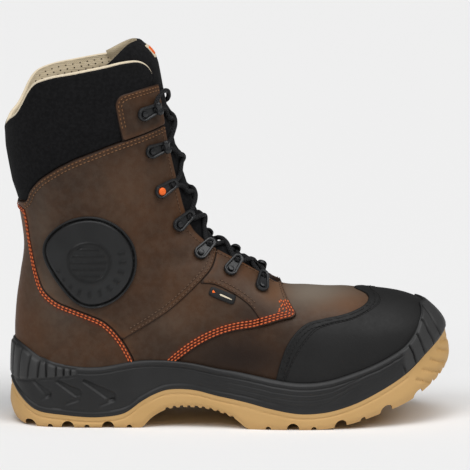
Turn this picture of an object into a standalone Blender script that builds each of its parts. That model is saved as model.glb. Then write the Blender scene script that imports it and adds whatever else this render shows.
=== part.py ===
"""A right safety boot, built piece by piece.

Tables and sizes are millimetres, objects are metres. +X points to the toe, +Y to the inner (medial)
side, +Z up, and the floor is z = 0. The upper is a loft of half sections that stand upright at the toe
and fan round the heel until they lie nearly level at the collar.
"""

import math

import bmesh
import bpy
import numpy as np
from mathutils import Matrix, Vector
from mathutils.bvhtree import BVHTree

MM = 0.001

# Middle of the boot's box in the tables, which becomes the origin
CENTRE_X = 0.7
CENTRE_Y = 1.2
SIDES = {"lateral": -1, "medial": 1}

# Gaps, walls and overlay heights above the upper's outer face
GAP = 0.3
SOLE_CLEARANCE = 1.8
LEATHER = 2.0
QUARTER_RISE = 1.7
COUNTER_RISE = 2.1
TOE_CAP_RISE = 1.6
TOE_BAND_RISE = 2.5
CUFF_RISE = 0.9
CUFF_DEPTH = 6.0
PATCH_RISE = CUFF_RISE + GAP + 1.2
PAD_RISE = QUARTER_RISE + GAP + 3.2
TONGUE_DEPTH = 3.3
TONGUE_THICKNESS = 5.0
INSOLE_THICKNESS = 4.0
INSOLE_INSET = 3.4

# Roundness of the half sections, 2 is an ellipse
FRONT_ROUND = 2.25
BACK_ROUND = 2.1
FRONT_NODES = 6
BACK_NODES = 4
THROAT_SHARE = 0.42

# Half sections of the upper, from the toe tip to above the collar
UPPER_COLUMNS = ("top_x", "top_z", "base_x", "base_z", "lateral", "medial", "base_lateral", "base_medial",
                 "belly", "mid_y", "throat")
UPPER_SECTIONS = {
    "toe tip": (146.5, 62.0, 146.5, 48.0, 0.0, 0.0, 0.0, 0.0, 0.55, 8.0, 0.0),
    "toe front": (144.9, 70.0, 144.9, 46.8, 12.8, 13.0, 11.0, 11.2, 0.55, 7.6, 7.0),
    "toe round": (140.4, 76.6, 140.4, 44.0, 23.0, 23.4, 20.6, 21.0, 0.57, 6.9, 12.0),
    "toe cap": (131.3, 82.3, 131.3, 38.5, 33.4, 34.2, 30.4, 31.2, 0.60, 5.7, 15.0),
    "toe back": (119.0, 86.3, 119.0, 32.5, 41.0, 41.6, 38.2, 38.8, 0.62, 4.3, 16.0),
    "ball front": (102.0, 89.0, 102.0, 26.5, 46.0, 46.2, 43.5, 43.2, 0.63, 2.6, 16.0),
    "ball": (78.0, 90.6, 78.0, 21.8, 48.6, 47.2, 45.5, 43.6, 0.63, 1.2, 15.0),
    "vamp": (56.0, 91.4, 56.0, 20.0, 49.0, 45.4, 45.4, 41.2, 0.62, 0.4, 14.0),
    "throat": (38.0, 92.6, 38.0, 20.3, 47.6, 43.0, 43.4, 38.4, 0.61, 0.0, 13.0),
    "low instep": (22.0, 103.0, 14.0, 21.4, 45.3, 39.8, 40.3, 34.5, 0.60, 0.0, 15.0),
    "instep": (7.0, 113.5, -14.0, 23.3, 42.8, 37.2, 37.0, 31.2, 0.59, 0.0, 17.0),
    "waist": (-6.0, 122.5, -46.0, 26.2, 40.2, 35.8, 34.0, 30.2, 0.57, 0.0, 18.0),
    "breast": (-14.0, 131.5, -92.0, 28.2, 37.6, 36.2, 31.5, 30.6, 0.55, 0.0, 18.5),
    "seat": (-18.0, 138.5, -123.0, 28.8, 36.8, 36.4, 26.5, 26.5, 0.54, 0.0, 19.0),
    "heel turn": (-20.0, 143.0, -136.5, 29.4, 36.6, 36.4, 15.0, 15.0, 0.53, 0.0, 19.0),
    "heel corner": (-21.8, 147.0, -141.5, 31.0, 36.6, 36.6, 0.0, 0.0, 0.52, 0.0, 19.0),
    "counter": (-25.0, 155.5, -146.4, 52.0, 36.8, 36.8, 0.0, 0.0, 0.52, 0.0, 19.0),
    "ankle": (-28.0, 164.5, -145.8, 80.0, 37.6, 37.6, 0.0, 0.0, 0.51, 0.0, 19.5),
    "high ankle": (-31.5, 175.5, -142.6, 102.5, 38.2, 38.2, 0.0, 0.0, 0.51, 0.0, 19.5),
    "achilles": (-34.6, 186.5, -139.2, 124.0, 38.0, 38.0, 0.0, 0.0, 0.50, 0.0, 19.5),
    "low shaft": (-37.5, 199.0, -141.6, 146.0, 38.6, 38.6, 0.0, 0.0, 0.50, 0.0, 20.0),
    "shaft": (-40.5, 213.5, -146.2, 168.0, 40.0, 40.0, 0.0, 0.0, 0.50, 0.0, 20.0),
    "high shaft": (-43.3, 227.0, -149.8, 188.0, 41.5, 41.5, 0.0, 0.0, 0.50, 0.0, 20.0),
    "collar": (-45.8, 240.0, -152.6, 207.0, 42.8, 42.8, 0.0, 0.0, 0.50, 0.0, 20.0),
    "over collar": (-49.0, 252.0, -157.0, 232.0, 43.6, 43.6, 0.0, 0.0, 0.50, 0.0, 20.0),
    "tongue top": (-58.0, 262.5, -164.0, 264.0, 44.0, 44.0, 0.0, 0.0, 0.50, 0.0, 20.0),
}
THROAT_ROW = list(UPPER_SECTIONS).index("throat")
HEEL_ROW = list(UPPER_SECTIONS).index("heel corner")

# Stations of the sole, from the heel to the toe: heights of tread, rubber edge and top line
SOLE_COLUMNS = ("x", "half", "mid_y", "tread", "join", "top", "join_inset")
SOLE_STATIONS = {
    "heel back": (-151.0, 0.0, 0.0, 7.0, 27.5, 57.0, 1.2),
    "heel arc": (-149.3, 11.0, 0.0, 5.0, 25.5, 56.0, 1.2),
    "heel round": (-144.0, 22.5, 0.0, 1.6, 19.5, 53.0, 1.0),
    "heel side": (-133.0, 32.8, 0.0, 0.0, 11.5, 47.0, 0.8),
    "heel": (-113.0, 38.4, -0.3, 0.0, 8.7, 42.4, 0.6),
    "heel front": (-86.0, 39.6, -1.0, 0.0, 7.6, 41.4, 0.6),
    "heel edge": (-72.0, 39.8, -1.4, 0.0, 10.2, 44.2, 0.6),
    "breast top": (-60.0, 39.8, -1.8, 0.4, 18.5, 46.0, 0.6),
    "breast": (-53.0, 39.9, -2.0, 7.2, 22.6, 46.2, 0.6),
    "arch back": (-44.0, 40.2, -2.1, 12.4, 26.2, 46.0, 0.6),
    "arch": (-27.0, 41.6, -2.1, 14.5, 26.8, 44.4, 0.6),
    "arch front": (-8.0, 44.4, -1.8, 11.6, 22.6, 40.6, 0.6),
    "shank end": (3.0, 46.4, -1.5, 7.0, 20.4, 39.0, 0.6),
    "tread start": (12.0, 48.2, -1.2, 0.4, 18.4, 37.2, 0.6),
    "ball back": (27.0, 51.2, -0.7, 0.0, 14.6, 34.0, 0.6),
    "ball": (50.0, 54.0, 0.4, 0.0, 11.0, 31.2, 0.6),
    "ball front": (63.0, 54.4, 1.0, 0.2, 11.7, 32.0, 0.6),
    "spring": (82.0, 54.2, 1.8, 3.6, 16.5, 37.0, 0.6),
    "toe side": (102.0, 52.2, 3.2, 9.6, 25.4, 44.0, 0.8),
    "toe turn": (120.0, 47.4, 4.6, 15.6, 35.4, 53.0, 1.4),
    "toe round": (137.0, 38.6, 6.0, 25.0, 49.0, 67.5, 2.2),
    "toe arc": (148.0, 26.2, 7.2, 32.5, 56.8, 76.5, 2.8),
    "toe front": (153.5, 13.0, 7.9, 37.0, 60.4, 80.5, 3.2),
    "toe tip": (155.0, 0.0, 8.1, 38.5, 61.2, 81.4, 3.3),
}
RIB_PITCH = 9.0
RIB_DEPTH = 1.1
RIB_ZONES = ((-151.0, -100.0), (112.0, 155.0))
PLAIN_STEP = 11.0

TREAD_BEVEL = 3.2
TREAD_BEVEL_RISE = 0.3
TREAD_EDGE_INSET = 0.3
LIP_WIDTH = 1.8
WELL_SLOPE = 1.6
WELL_HEIGHT = 7.5
WELL_UNDER_FOOT = 4.5
WELL_UNDER_LIP = 0.8
RIM = 2.5
RIM_ROOT = 1.5
WALL_BULGE = 0.78
WALL_LEVELS = (0.35, 0.75)

# Round lug notches in the tread edge: place along the sole and radius
NOTCH_COLUMNS = ("x", "radius")
NOTCHES = ((-136.5, 4.0), (-122.7, 1.8), (-110.5, 4.2), (-97.4, 1.8), (-83.0, 4.2), (-68.5, 1.8),
           (25.8, 1.8), (42.7, 4.2), (57.1, 1.8), (75.4, 4.2), (91.0, 1.8), (107.2, 4.2), (130.0, 3.2))
NOTCH_REACH = 26.0
NOTCH_SHARE = 0.7
NOTCH_OUTSIDE = 8.0
NOTCH_SIDES = 8
NOTCH_LIFT = 0.5

# Panel lines in the side view, as (x, z)
CUFF_SEAM = ((-143.6, 153.4), (-137.0, 153.8), (-134.0, 161.5), (-128.8, 168.7), (-119.5, 175.9),
             (-106.2, 183.5), (-92.1, 189.2), (-77.9, 194.6), (-53.6, 202.4), (-40.0, 207.5))
COLLAR_LINE = ((-152.6, 205.0), (-150.5, 209.5), (-145.0, 215.2), (-141.1, 221.9), (-136.8, 230.5),
               (-132.1, 236.5), (-124.0, 240.0), (-104.0, 244.2), (-83.6, 248.2), (-68.5, 251.0),
               (-60.5, 250.8), (-54.9, 247.6), (-51.0, 241.5))
COUNTER_LINE = ((-138.2, 152.2), (-136.4, 141.7), (-135.4, 128.8), (-133.0, 116.5), (-129.6, 105.1),
                (-124.9, 93.7), (-117.3, 87.0), (-106.8, 82.5), (-95.1, 77.9), (-85.8, 73.6),
                (-77.7, 66.5), (-71.8, 58.7), (-65.5, 47.4))
QUARTER_LINE = ((-42.0, 46.4), (-33.8, 51.4), (-22.2, 58.4), (-10.1, 64.5), (4.2, 70.1), (17.7, 73.7),
                (28.6, 75.0), (38.7, 75.6), (44.2, 77.1), (43.0, 81.4), (39.9, 86.4))
TOE_LINE = ((31.2, 33.5), (34.1, 44.8), (38.8, 57.6), (44.6, 65.7), (51.7, 71.3), (63.5, 74.4),
            (75.4, 76.3), (86.1, 79.3), (92.4, 83.2), (94.0, 86.4), (93.4, 89.0), (91.0, 92.0))
TOE_BAND_STEP = (6.5, -2.6)
CAP_STEP = (2 * GAP, -GAP / 2)
PATCH_ABOVE_SEAM = 4.0
PATCH_LINE = ((-72.0, 200.0), (-75.0, 214.0), (-75.7, 224.1), (-73.6, 227.2), (-67.6, 229.5),
              (-57.5, 232.1), (-47.5, 233.7))

# Round ankle guard in the side view
PAD_CENTRE = (-95.8, 114.0)
PAD_RADIUS = 31.6
PAD_FLAT = 25.4
PAD_FLAT_ANGLE = math.radians(226.0)
PAD_CORNER = 10.0
PAD_POINTS = 24

# Lace loops from the top down: rivet and tip in the side view
LOOP_COLUMNS = ("rivet_x", "rivet_z", "tip_x", "tip_z")
LOOPS = ((-57.0, 215.0, -46.6, 218.1), (-54.0, 189.7, -42.6, 192.5), (-44.6, 162.2, -34.8, 166.6),
         (-33.8, 140.9, -26.0, 146.0), (-18.8, 120.3, -12.0, 128.0), (1.0, 110.8, 6.0, 118.0),
         (22.0, 99.0, 25.8, 106.6))
LOOP_LENGTH = 10.5
LOOP_HEAD = 4.8
LOOP_TIP = 3.6
LOOP_THICKNESS = 2.4
LOOP_LIFT = 1.0
LOOP_SLOT = (6.0, 9.8, 1.7)
RIVET_RADIUS = 3.2
RIVET_TOP_SHARE = 0.7
RIVET_SIDES = 6
RIVET_HEIGHT = 1.3
LACE_RADIUS = 1.9
LACE_LIFT = 0.9
LACE_OVER = 0.6
LACE_REACH = 13.0
LACE_FREE = 0.16
LACE_POINTS = 4
TONGUE_HALVES = (27.0, 35.0)
TONGUE_COLUMNS = 9
TONGUE_ENDS = (0.4, 0.0)
TONGUE_CORNER = 0.6
FINE_STEPS = 2000
FAR = 200.0

MATERIALS = {
    "rubber": ((0.36, 0.21, 0.08), 0.62, 0.0),
    "moulded": ((0.028, 0.027, 0.027), 0.55, 0.0),
    "leather": ((0.075, 0.048, 0.034), 0.48, 0.0),
    "textile": ((0.022, 0.021, 0.022), 0.85, 0.0),
    "guard": ((0.020, 0.019, 0.019), 0.60, 0.0),
    "footbed": ((0.045, 0.043, 0.042), 0.90, 0.0),
    "hardware": ((0.018, 0.018, 0.019), 0.35, 0.2),
    "cord": ((0.012, 0.012, 0.013), 0.80, 0.0),
}


def smooth(rows, where):
    """Rows of a table read at fractional row numbers, on a smooth curve through all rows."""
    rows = np.asarray(rows, dtype=float)
    steps = np.linalg.norm(np.diff(rows, axis=0), axis=1)
    slopes = np.diff(rows, axis=0) / steps[:, None]
    share = (steps[:-1] / (steps[:-1] + steps[1:]))[:, None]
    tangents = np.vstack((slopes[:1], (1 - share) * slopes[:-1] + share * slopes[1:], slopes[-1:]))
    where = np.atleast_1d(np.asarray(where, dtype=float))
    gap = np.clip(where.astype(int), 0, len(steps) - 1)
    t = (where - gap)[:, None]
    span = steps[gap][:, None]
    start = (1 + 2 * t) * (1 - t) ** 2 * rows[gap] + t * (1 - t) ** 2 * span * tangents[gap]
    end = t ** 2 * (3 - 2 * t) * rows[gap + 1] + t ** 2 * (t - 1) * span * tangents[gap + 1]
    return start + end


def named(columns, row):
    """A table row as a dictionary of its columns."""
    return dict(zip(columns, row))


def section_point(row, y, along):
    """Point of a section at a distance along its top-to-base line and a distance from its middle."""
    x = row["top_x"] + along * (row["base_x"] - row["top_x"])
    z = row["top_z"] + along * (row["base_z"] - row["top_z"])
    return np.array((x, row["mid_y"] + y, z))


def front_point(row, y):
    """Point of a section between its ridge and its widest place, at a distance from its middle."""
    width = row["lateral"] if y < 0 else row["medial"]
    rise = (1 - min(abs(y) / width, 1.0) ** FRONT_ROUND) ** (1 / FRONT_ROUND)
    return section_point(row, y, row["belly"] * (1 - rise))


def half_section(row, side):
    """Points of one half section from the ridge over the throat edge and the belly to the base."""
    width = row[side]
    base = row["base_" + side]
    throat = min(row["throat"] / width, THROAT_SHARE) if width > 0 else THROAT_SHARE
    first = math.asin(throat ** (FRONT_ROUND / 2))
    points = [section_point(row, 0.0, 0.0)]
    for angle in np.linspace(first, math.pi / 2, FRONT_NODES - 1):
        out = math.sin(angle) ** (2 / FRONT_ROUND)
        rise = max(math.cos(angle), 0.0) ** (2 / FRONT_ROUND)
        points.append(section_point(row, SIDES[side] * width * out, row["belly"] * (1 - rise)))
    for angle in np.linspace(0, math.pi / 2, BACK_NODES + 1)[1:]:
        drop = math.sin(angle) ** (2 / BACK_ROUND)
        out = base + (width - base) * max(1 - drop ** BACK_ROUND, 0.0) ** (1 / BACK_ROUND)
        points.append(section_point(row, SIDES[side] * out, row["belly"] + (1 - row["belly"]) * drop))
    return points


def upper_row(where):
    """The section of the upper at a fractional row number."""
    return named(UPPER_COLUMNS, smooth(list(UPPER_SECTIONS.values()), where)[0])


def upper_nodes():
    """Grid of surface points for each side: section by section, ridge to base."""
    rows = [named(UPPER_COLUMNS, row) for row in UPPER_SECTIONS.values()]
    return {side: np.array([half_section(row, side) for row in rows]) for side in SIDES}


def weld(polygons):
    """Vertices and faces of a list of polygons, with equal points shared and empty faces dropped."""
    index = {}
    faces = []
    for polygon in polygons:
        face = []
        for point in polygon:
            key = tuple(round(float(value), 4) for value in point)
            number = index.setdefault(key, len(index))
            if number not in face:
                face.append(number)
        if len(face) > 2:
            faces.append(face)
    return list(index), faces


def new_mesh(name, polygons):
    """Mesh in metres from polygons in millimetres, with its faces turned outward."""
    points, faces = weld(polygons)
    mesh = bpy.data.meshes.new(name)
    shift = np.array((CENTRE_X, CENTRE_Y, 0.0))
    mesh.from_pydata([tuple((np.array(point) - shift) * MM) for point in points], [], faces)
    work = bmesh.new()
    work.from_mesh(mesh)
    bmesh.ops.recalc_face_normals(work, faces=work.faces)
    work.to_mesh(mesh)
    work.free()
    return mesh


def new_object(name, mesh, collection):
    """Object holding a mesh, linked to a collection."""
    item = bpy.data.objects.new(name, mesh)
    collection.objects.link(item)
    return item


def side_cells(grid, side, first_cell):
    """Triangles of one side of a node grid, each section starting at its own first cell."""
    cells = []
    for s in range(len(grid) - 1):
        for j in range(first_cell(s), grid.shape[1] - 1):
            a, b, c, d = grid[s, j], grid[s + 1, j], grid[s + 1, j + 1], grid[s, j + 1]
            cells += [[a, b, c], [a, c, d]] if SIDES[side] < 0 else [[c, b, a], [d, c, a]]
    return cells


def form_polygons(grids):
    """Closed form of the whole upper: both sides, a floor under the foot and a lid at the top."""
    lateral, medial = grids["lateral"], grids["medial"]
    polygons = side_cells(lateral, "lateral", lambda s: 0) + side_cells(medial, "medial", lambda s: 0)
    for s in range(HEEL_ROW):
        polygons.append([lateral[s, -1], lateral[s + 1, -1], medial[s + 1, -1], medial[s, -1]])
    for j in range(lateral.shape[1] - 1):
        polygons.append([lateral[-1, j], medial[-1, j], medial[-1, j + 1], lateral[-1, j + 1]])
    return polygons


def node_normals(grids):
    """Outward normal at each node, long enough to move the faces round it by one millimetre."""
    points, faces = weld(form_polygons(grids))
    work = bmesh.new()
    verts = [work.verts.new(point) for point in points]
    for face in faces:
        work.faces.new([verts[number] for number in face])
    bmesh.ops.recalc_face_normals(work, faces=work.faces)
    work.normal_update()
    lookup = {point: np.array(vert.normal) * vert.calc_shell_factor() for point, vert in zip(points, verts)}
    work.free()
    return {side: np.array([[lookup[tuple(round(float(v), 4) for v in node)] for node in row]
                            for row in grid]) for side, grid in grids.items()}


class Upper:
    """The upper's outer surface, and larger or smaller forms worked out from it."""

    def __init__(self):
        self.grids = upper_nodes()
        self.normals = node_normals(self.grids)
        points, faces = weld(form_polygons(self.grids))
        self.tree = BVHTree.FromPolygons([Vector(point) for point in points], faces)

    def moved(self, rise):
        """Node grids moved outward by a distance, or by one distance for each node of a section."""
        rise = np.broadcast_to(np.asarray(rise, dtype=float), (FRONT_NODES + BACK_NODES,))
        return {side: self.grids[side] + self.normals[side] * rise[None, :, None] for side in SIDES}

    def form(self, name, rise, collection):
        """Closed form object at a distance from the outer surface."""
        return new_object(name, new_mesh(name, form_polygons(self.moved(rise))), collection)

    def skin(self, name, collection):
        """Open outer surface without floor, lid or throat."""
        polygons = []
        for side, grid in self.grids.items():
            polygons += side_cells(grid, side, lambda s: 1 if s >= THROAT_ROW else 0)
        return new_object(name, new_mesh(name, polygons), collection)

    def throat_line(self):
        """Throat edge in the side view, from the vamp to the top."""
        return [(node[0], node[2]) for node in self.grids["lateral"][THROAT_ROW:, 1]]

    def hit(self, origin, direction):
        """Surface point and outward normal met by a ray."""
        place, normal, _, _ = self.tree.ray_cast(Vector(origin), Vector(direction))
        normal = np.array(normal)
        if np.dot(normal, direction) > 0:
            normal = -normal
        return np.array(place), normal

    def beside(self, x, z, side):
        """Surface point and outward normal at a place in the side view."""
        return self.hit((x, SIDES[side] * FAR, z), (0.0, -SIDES[side], 0.0))


def combine(target, tool, operation, solver="EXACT"):
    """Apply a Boolean to the target and remove the tool."""
    modifier = target.modifiers.new(operation.lower(), "BOOLEAN")
    modifier.operation = operation
    modifier.solver = solver
    modifier.object = tool
    apply_modifiers(target)
    mesh = tool.data
    bpy.data.objects.remove(tool)
    bpy.data.meshes.remove(mesh)
    return target


def apply_modifiers(target):
    """Replace an object's mesh by its evaluated one, with no modifiers left."""
    graph = bpy.context.evaluated_depsgraph_get()
    graph.update()
    mesh = bpy.data.meshes.new_from_object(target.evaluated_get(graph))
    old = target.data
    target.modifiers.clear()
    target.data = mesh
    bpy.data.meshes.remove(old)


def prism(name, outline, collection, low=-FAR, high=FAR):
    """Closed block with an outline in the side view, between two distances from the middle."""
    near = [(x, low, z) for x, z in outline]
    far = [(x, high, z) for x, z in outline]
    polygons = [near, far[::-1]]
    for i in range(len(outline)):
        k = (i + 1) % len(outline)
        polygons.append([near[i], near[k], far[k], far[i]])
    return new_object(name, new_mesh(name, polygons), collection)


def side_range(side):
    """Distances from the middle that hold one side."""
    return (-FAR, 0.0) if SIDES[side] < 0 else (0.0, FAR)


def moved_line(line, dx, dz):
    """A side-view line moved by a step."""
    return tuple((x + dx, z + dz) for x, z in line)


class Sole:
    """Stations round the sole's edge, with rings at named insets and heights."""

    def __init__(self, where):
        rows = smooth(list(SOLE_STATIONS.values()), where)
        self.rows = [named(SOLE_COLUMNS, row) for row in rows]
        for row in self.rows:
            row["half"] = max(row["half"], 0.0)
            row["tread"] = max(row["tread"], 0.0)
        lateral = [(row["x"], row["mid_y"] - row["half"]) for row in self.rows]
        medial = [(row["x"], row["mid_y"] + row["half"]) for row in self.rows]
        self.edge = np.array(lateral + medial[-2:0:-1])
        self.ring_rows = self.rows + self.rows[-2:0:-1]
        tangent = np.roll(self.edge, -1, axis=0) - np.roll(self.edge, 1, axis=0)
        tangent /= np.linalg.norm(tangent, axis=1)[:, None]
        self.inward = np.column_stack((-tangent[:, 1], tangent[:, 0]))

    def ring(self, inset, height):
        """Closed ring of points; inset and height are functions of a station."""
        points = []
        for edge, inward, row in zip(self.edge, self.inward, self.ring_rows):
            spot = edge + inward * inset(row)
            points.append(np.array((spot[0], spot[1], height(row))))
        return points


def well_inset(row):
    """Inset of the foot of the rubber's inner wall at a station."""
    return row["join_inset"] + LIP_WIDTH + WELL_SLOPE


def well_height(row):
    """Height of the rubber's inner floor at a station."""
    foot = np.interp(row["x"], *foot_floor())
    return min(row["join"] - WELL_UNDER_LIP, row["tread"] + WELL_HEIGHT, foot - WELL_UNDER_FOOT)


def foot_floor():
    """Places along the sole and heights of the upper's base there, heel first."""
    rows = [named(UPPER_COLUMNS, row) for row in list(UPPER_SECTIONS.values())[HEEL_ROW::-1]]
    return [row["base_x"] for row in rows], [row["base_z"] for row in rows]


def loft(rings):
    """Triangles of a solid through closed rings, with ladders across the first and the last."""
    count = len(rings[0])
    polygons = []
    for low, high in zip(rings, rings[1:]):
        if np.mean([point[2] for point in low]) > np.mean([point[2] for point in high]):
            low, high = high, low
        for i in range(count):
            k = (i + 1) % count
            polygons += [[high[i], low[i], low[k]], [high[i], low[k], high[k]]]
    for ring in (rings[0], rings[-1]):
        for i in range(count // 2):
            far, near = ring[-i - 1], ring[-i % count]
            polygons += [[ring[i], ring[i + 1], far], [ring[i], far, near]]
    return polygons


def close_stations():
    """Row numbers of the sole's stations, close together where its wall is ribbed."""
    fine = np.linspace(0, len(SOLE_STATIONS) - 1, FINE_STEPS)
    rows = smooth(list(SOLE_STATIONS.values()), fine)
    length = np.concatenate(([0.0], np.cumsum(np.linalg.norm(np.diff(rows[:, :2], axis=0), axis=1))))
    picks = []
    for low, high in RIB_ZONES[:1] + ((RIB_ZONES[0][1], RIB_ZONES[1][0]),) + RIB_ZONES[1:]:
        step = RIB_PITCH / 2 if (low, high) in RIB_ZONES else PLAIN_STEP
        start, end = np.interp((low, high), rows[:, 0], length)
        count = 2 * round((end - start) / step / 2)
        picks.append(np.linspace(start, end, count + 1)[:-1])
    return np.interp(np.concatenate(picks + [length[-1:]]), length, fine)


def in_rib_zone(row):
    """True where the midsole's wall is ribbed."""
    return any(low <= row["x"] <= high for low, high in RIB_ZONES)


def midsole_polygons(upper, sole, grow, rib_depth=0.0):
    """The midsole as a full block, grown by a distance where overlays have to stay clear."""
    lip = sole.ring(lambda row: row["join_inset"] - grow, lambda row: row["join"] + GAP)
    rim, root = [], []
    for edge, inward, row in zip(sole.edge, sole.inward, sole.ring_rows):
        place, normal = upper.hit((edge[0], edge[1], row["top"]), (inward[0], inward[1], 0.0))
        lifted = place + np.array((0.0, 0.0, grow))
        rim.append(lifted + normal * (RIM + grow))
        root.append(lifted - normal * RIM_ROOT)
    walls = []
    for t in WALL_LEVELS:
        wall = []
        for i, row in enumerate(sole.ring_rows):
            shoulder = lip[i].copy()
            shoulder[2] += WALL_BULGE * (rim[i][2] - lip[i][2])
            point = (1 - t) ** 2 * lip[i] + 2 * t * (1 - t) * shoulder + t ** 2 * rim[i]
            if in_rib_zone(row) and i % 2:
                point[:2] += sole.inward[i] * rib_depth
            wall.append(point)
        walls.append(wall)
    well = sole.ring(lambda row: well_inset(row) + GAP, lambda row: well_height(row) + GAP)
    inner = sole.ring(lambda row: row["join_inset"] + LIP_WIDTH + GAP, lambda row: row["join"] + GAP)
    return loft([well, inner, lip] + walls + [rim, root])


def make_midsole(upper, parts, cutters):
    """Moulded midsole with its ribbed heel cap and toe bumper, hollowed to take the upper."""
    polygons = midsole_polygons(upper, Sole(close_stations()), 0.0, RIB_DEPTH)
    midsole = new_object("midsole", new_mesh("midsole", polygons), parts)
    return combine(midsole, upper.form("foot hollow", GAP, cutters), "DIFFERENCE")


def bevel_height(row):
    """Height of the top of the tread's bevel at a station."""
    return row["tread"] + TREAD_BEVEL_RISE * (row["join"] - row["tread"])


def make_outsole(parts, cutters):
    """Rubber outsole with toe wrap, heel, arch and round lug notches."""
    sole = Sole(close_stations())
    rings = [
        sole.ring(lambda row: TREAD_BEVEL, lambda row: row["tread"]),
        sole.ring(lambda row: TREAD_EDGE_INSET, bevel_height),
        sole.ring(lambda row: row["join_inset"], lambda row: row["join"]),
        sole.ring(lambda row: row["join_inset"] + LIP_WIDTH, lambda row: row["join"]),
        sole.ring(well_inset, well_height),
    ]
    outsole = new_object("outsole", new_mesh("outsole", loft(rings)), parts)
    return combine(outsole, make_notches(sole, cutters), "DIFFERENCE")


def make_notches(sole, cutters):
    """Round bars across both tread edges, one for each lug notch."""
    xs = [row["x"] for row in sole.rows]
    work = bmesh.new()
    for notch in NOTCHES:
        size = named(NOTCH_COLUMNS, notch)
        tread = np.interp(size["x"], xs, [row["tread"] for row in sole.rows])
        half = np.interp(size["x"], xs, [row["half"] for row in sole.rows])
        mid = np.interp(size["x"], xs, [row["mid_y"] for row in sole.rows])
        for sign in SIDES.values():
            reach = min(NOTCH_REACH, NOTCH_SHARE * half)
            y = mid + sign * (half + (NOTCH_OUTSIDE - reach) / 2)
            place = Matrix.Translation(Vector((size["x"] - CENTRE_X, y - CENTRE_Y, tread + NOTCH_LIFT)) * MM)
            turn = Matrix.Rotation(math.pi / 2, 4, "X")
            bmesh.ops.create_cone(work, cap_ends=True, segments=NOTCH_SIDES, radius1=size["radius"] * MM,
                                  radius2=size["radius"] * MM, depth=(reach + NOTCH_OUTSIDE) * MM, matrix=place @ turn)
    mesh = bpy.data.meshes.new("notches")
    work.to_mesh(mesh)
    work.free()
    return new_object("notches", mesh, cutters)


def make_insole(parts):
    """Footbed on the midsole's floor, inside the upper's wall."""
    rows = [named(UPPER_COLUMNS, row) for row in list(UPPER_SECTIONS.values())[HEEL_ROW::-1]]
    lateral = [(row["base_x"], row["mid_y"] - row["base_lateral"], row["base_z"]) for row in rows]
    medial = [(row["base_x"], row["mid_y"] + row["base_medial"], row["base_z"]) for row in rows]
    edge = np.array(lateral + medial[-2:0:-1])
    tangent = np.roll(edge, -1, axis=0) - np.roll(edge, 1, axis=0)
    inward = np.column_stack((-tangent[:, 1], tangent[:, 0], np.zeros(len(edge))))
    inward /= np.linalg.norm(inward, axis=1)[:, None]
    low = edge + inward * INSOLE_INSET
    high = low + np.array((0.0, 0.0, INSOLE_THICKNESS))
    return new_object("insole", new_mesh("insole", loft([list(low), list(high)])), parts)


def make_upper(upper, parts, cutters):
    """Hollow leather upper: the open skin thickened inward and trimmed at the cuff seam."""
    item = upper.skin("upper", parts)
    wall = item.modifiers.new("wall", "SOLIDIFY")
    wall.thickness = LEATHER * MM
    wall.offset = -1.0
    wall.use_even_offset = True
    wall.use_rim = True
    apply_modifiers(item)
    outline = ((-FAR, CUFF_SEAM[0][1]),) + CUFF_SEAM + ((FAR, CUFF_SEAM[-1][1]), (FAR, -FAR), (-FAR, -FAR))
    return combine(item, prism("leather range", outline, cutters), "INTERSECT")


def make_cuff(upper, parts, cutters):
    """Padded cuff above the leather, thin at the throat where the tongue passes under it."""
    depth = np.interp(np.arange(FRONT_NODES + BACK_NODES), (0, 3, 5), (LEATHER, LEATHER, CUFF_DEPTH))
    cuff = upper.form("cuff", CUFF_RISE, parts)
    combine(cuff, upper.form("cuff hollow", -depth, cutters), "DIFFERENCE")
    low = moved_line(CUFF_SEAM, 0.0, GAP)
    front = ((0.0, low[-1][1]), (0.0, COLLAR_LINE[-1][1]))
    outline = ((-FAR, low[0][1]),) + low + front + COLLAR_LINE[::-1] + ((-FAR, COLLAR_LINE[0][1]),)
    combine(cuff, prism("cuff range", outline, cutters), "INTERSECT")
    middle = PATCH_LINE[1][0]
    slot = ((middle, 0.0), (0.0, 0.0), (0.0, FAR * 2), (middle, FAR * 2))
    half = UPPER_SECTIONS["collar"][UPPER_COLUMNS.index("throat")]
    return combine(cuff, prism("throat slot", slot, cutters, -half, half), "DIFFERENCE")


def throat_at(upper, z):
    """Point of the throat edge at a height, in the side view."""
    line = np.array(upper.throat_line())
    return (float(np.interp(z, line[:, 1], line[:, 0])), z)


def make_overlay(upper, name, outline, low, high, parts, cutters, side=None):
    """Overlay between two forms of the upper, inside a side-view outline and above the midsole."""
    item = upper.form(name, high, parts)
    combine(item, upper.form("under overlay", low, cutters), "DIFFERENCE")
    reach = side_range(side) if side else (-FAR, FAR)
    combine(item, prism("overlay range", outline, cutters, *reach), "INTERSECT")
    polygons = midsole_polygons(upper, Sole(range(len(SOLE_STATIONS))), SOLE_CLEARANCE)
    block = new_object("midsole range", new_mesh("midsole range", polygons), cutters)
    return combine(item, block, "DIFFERENCE", "MANIFOLD")


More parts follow.
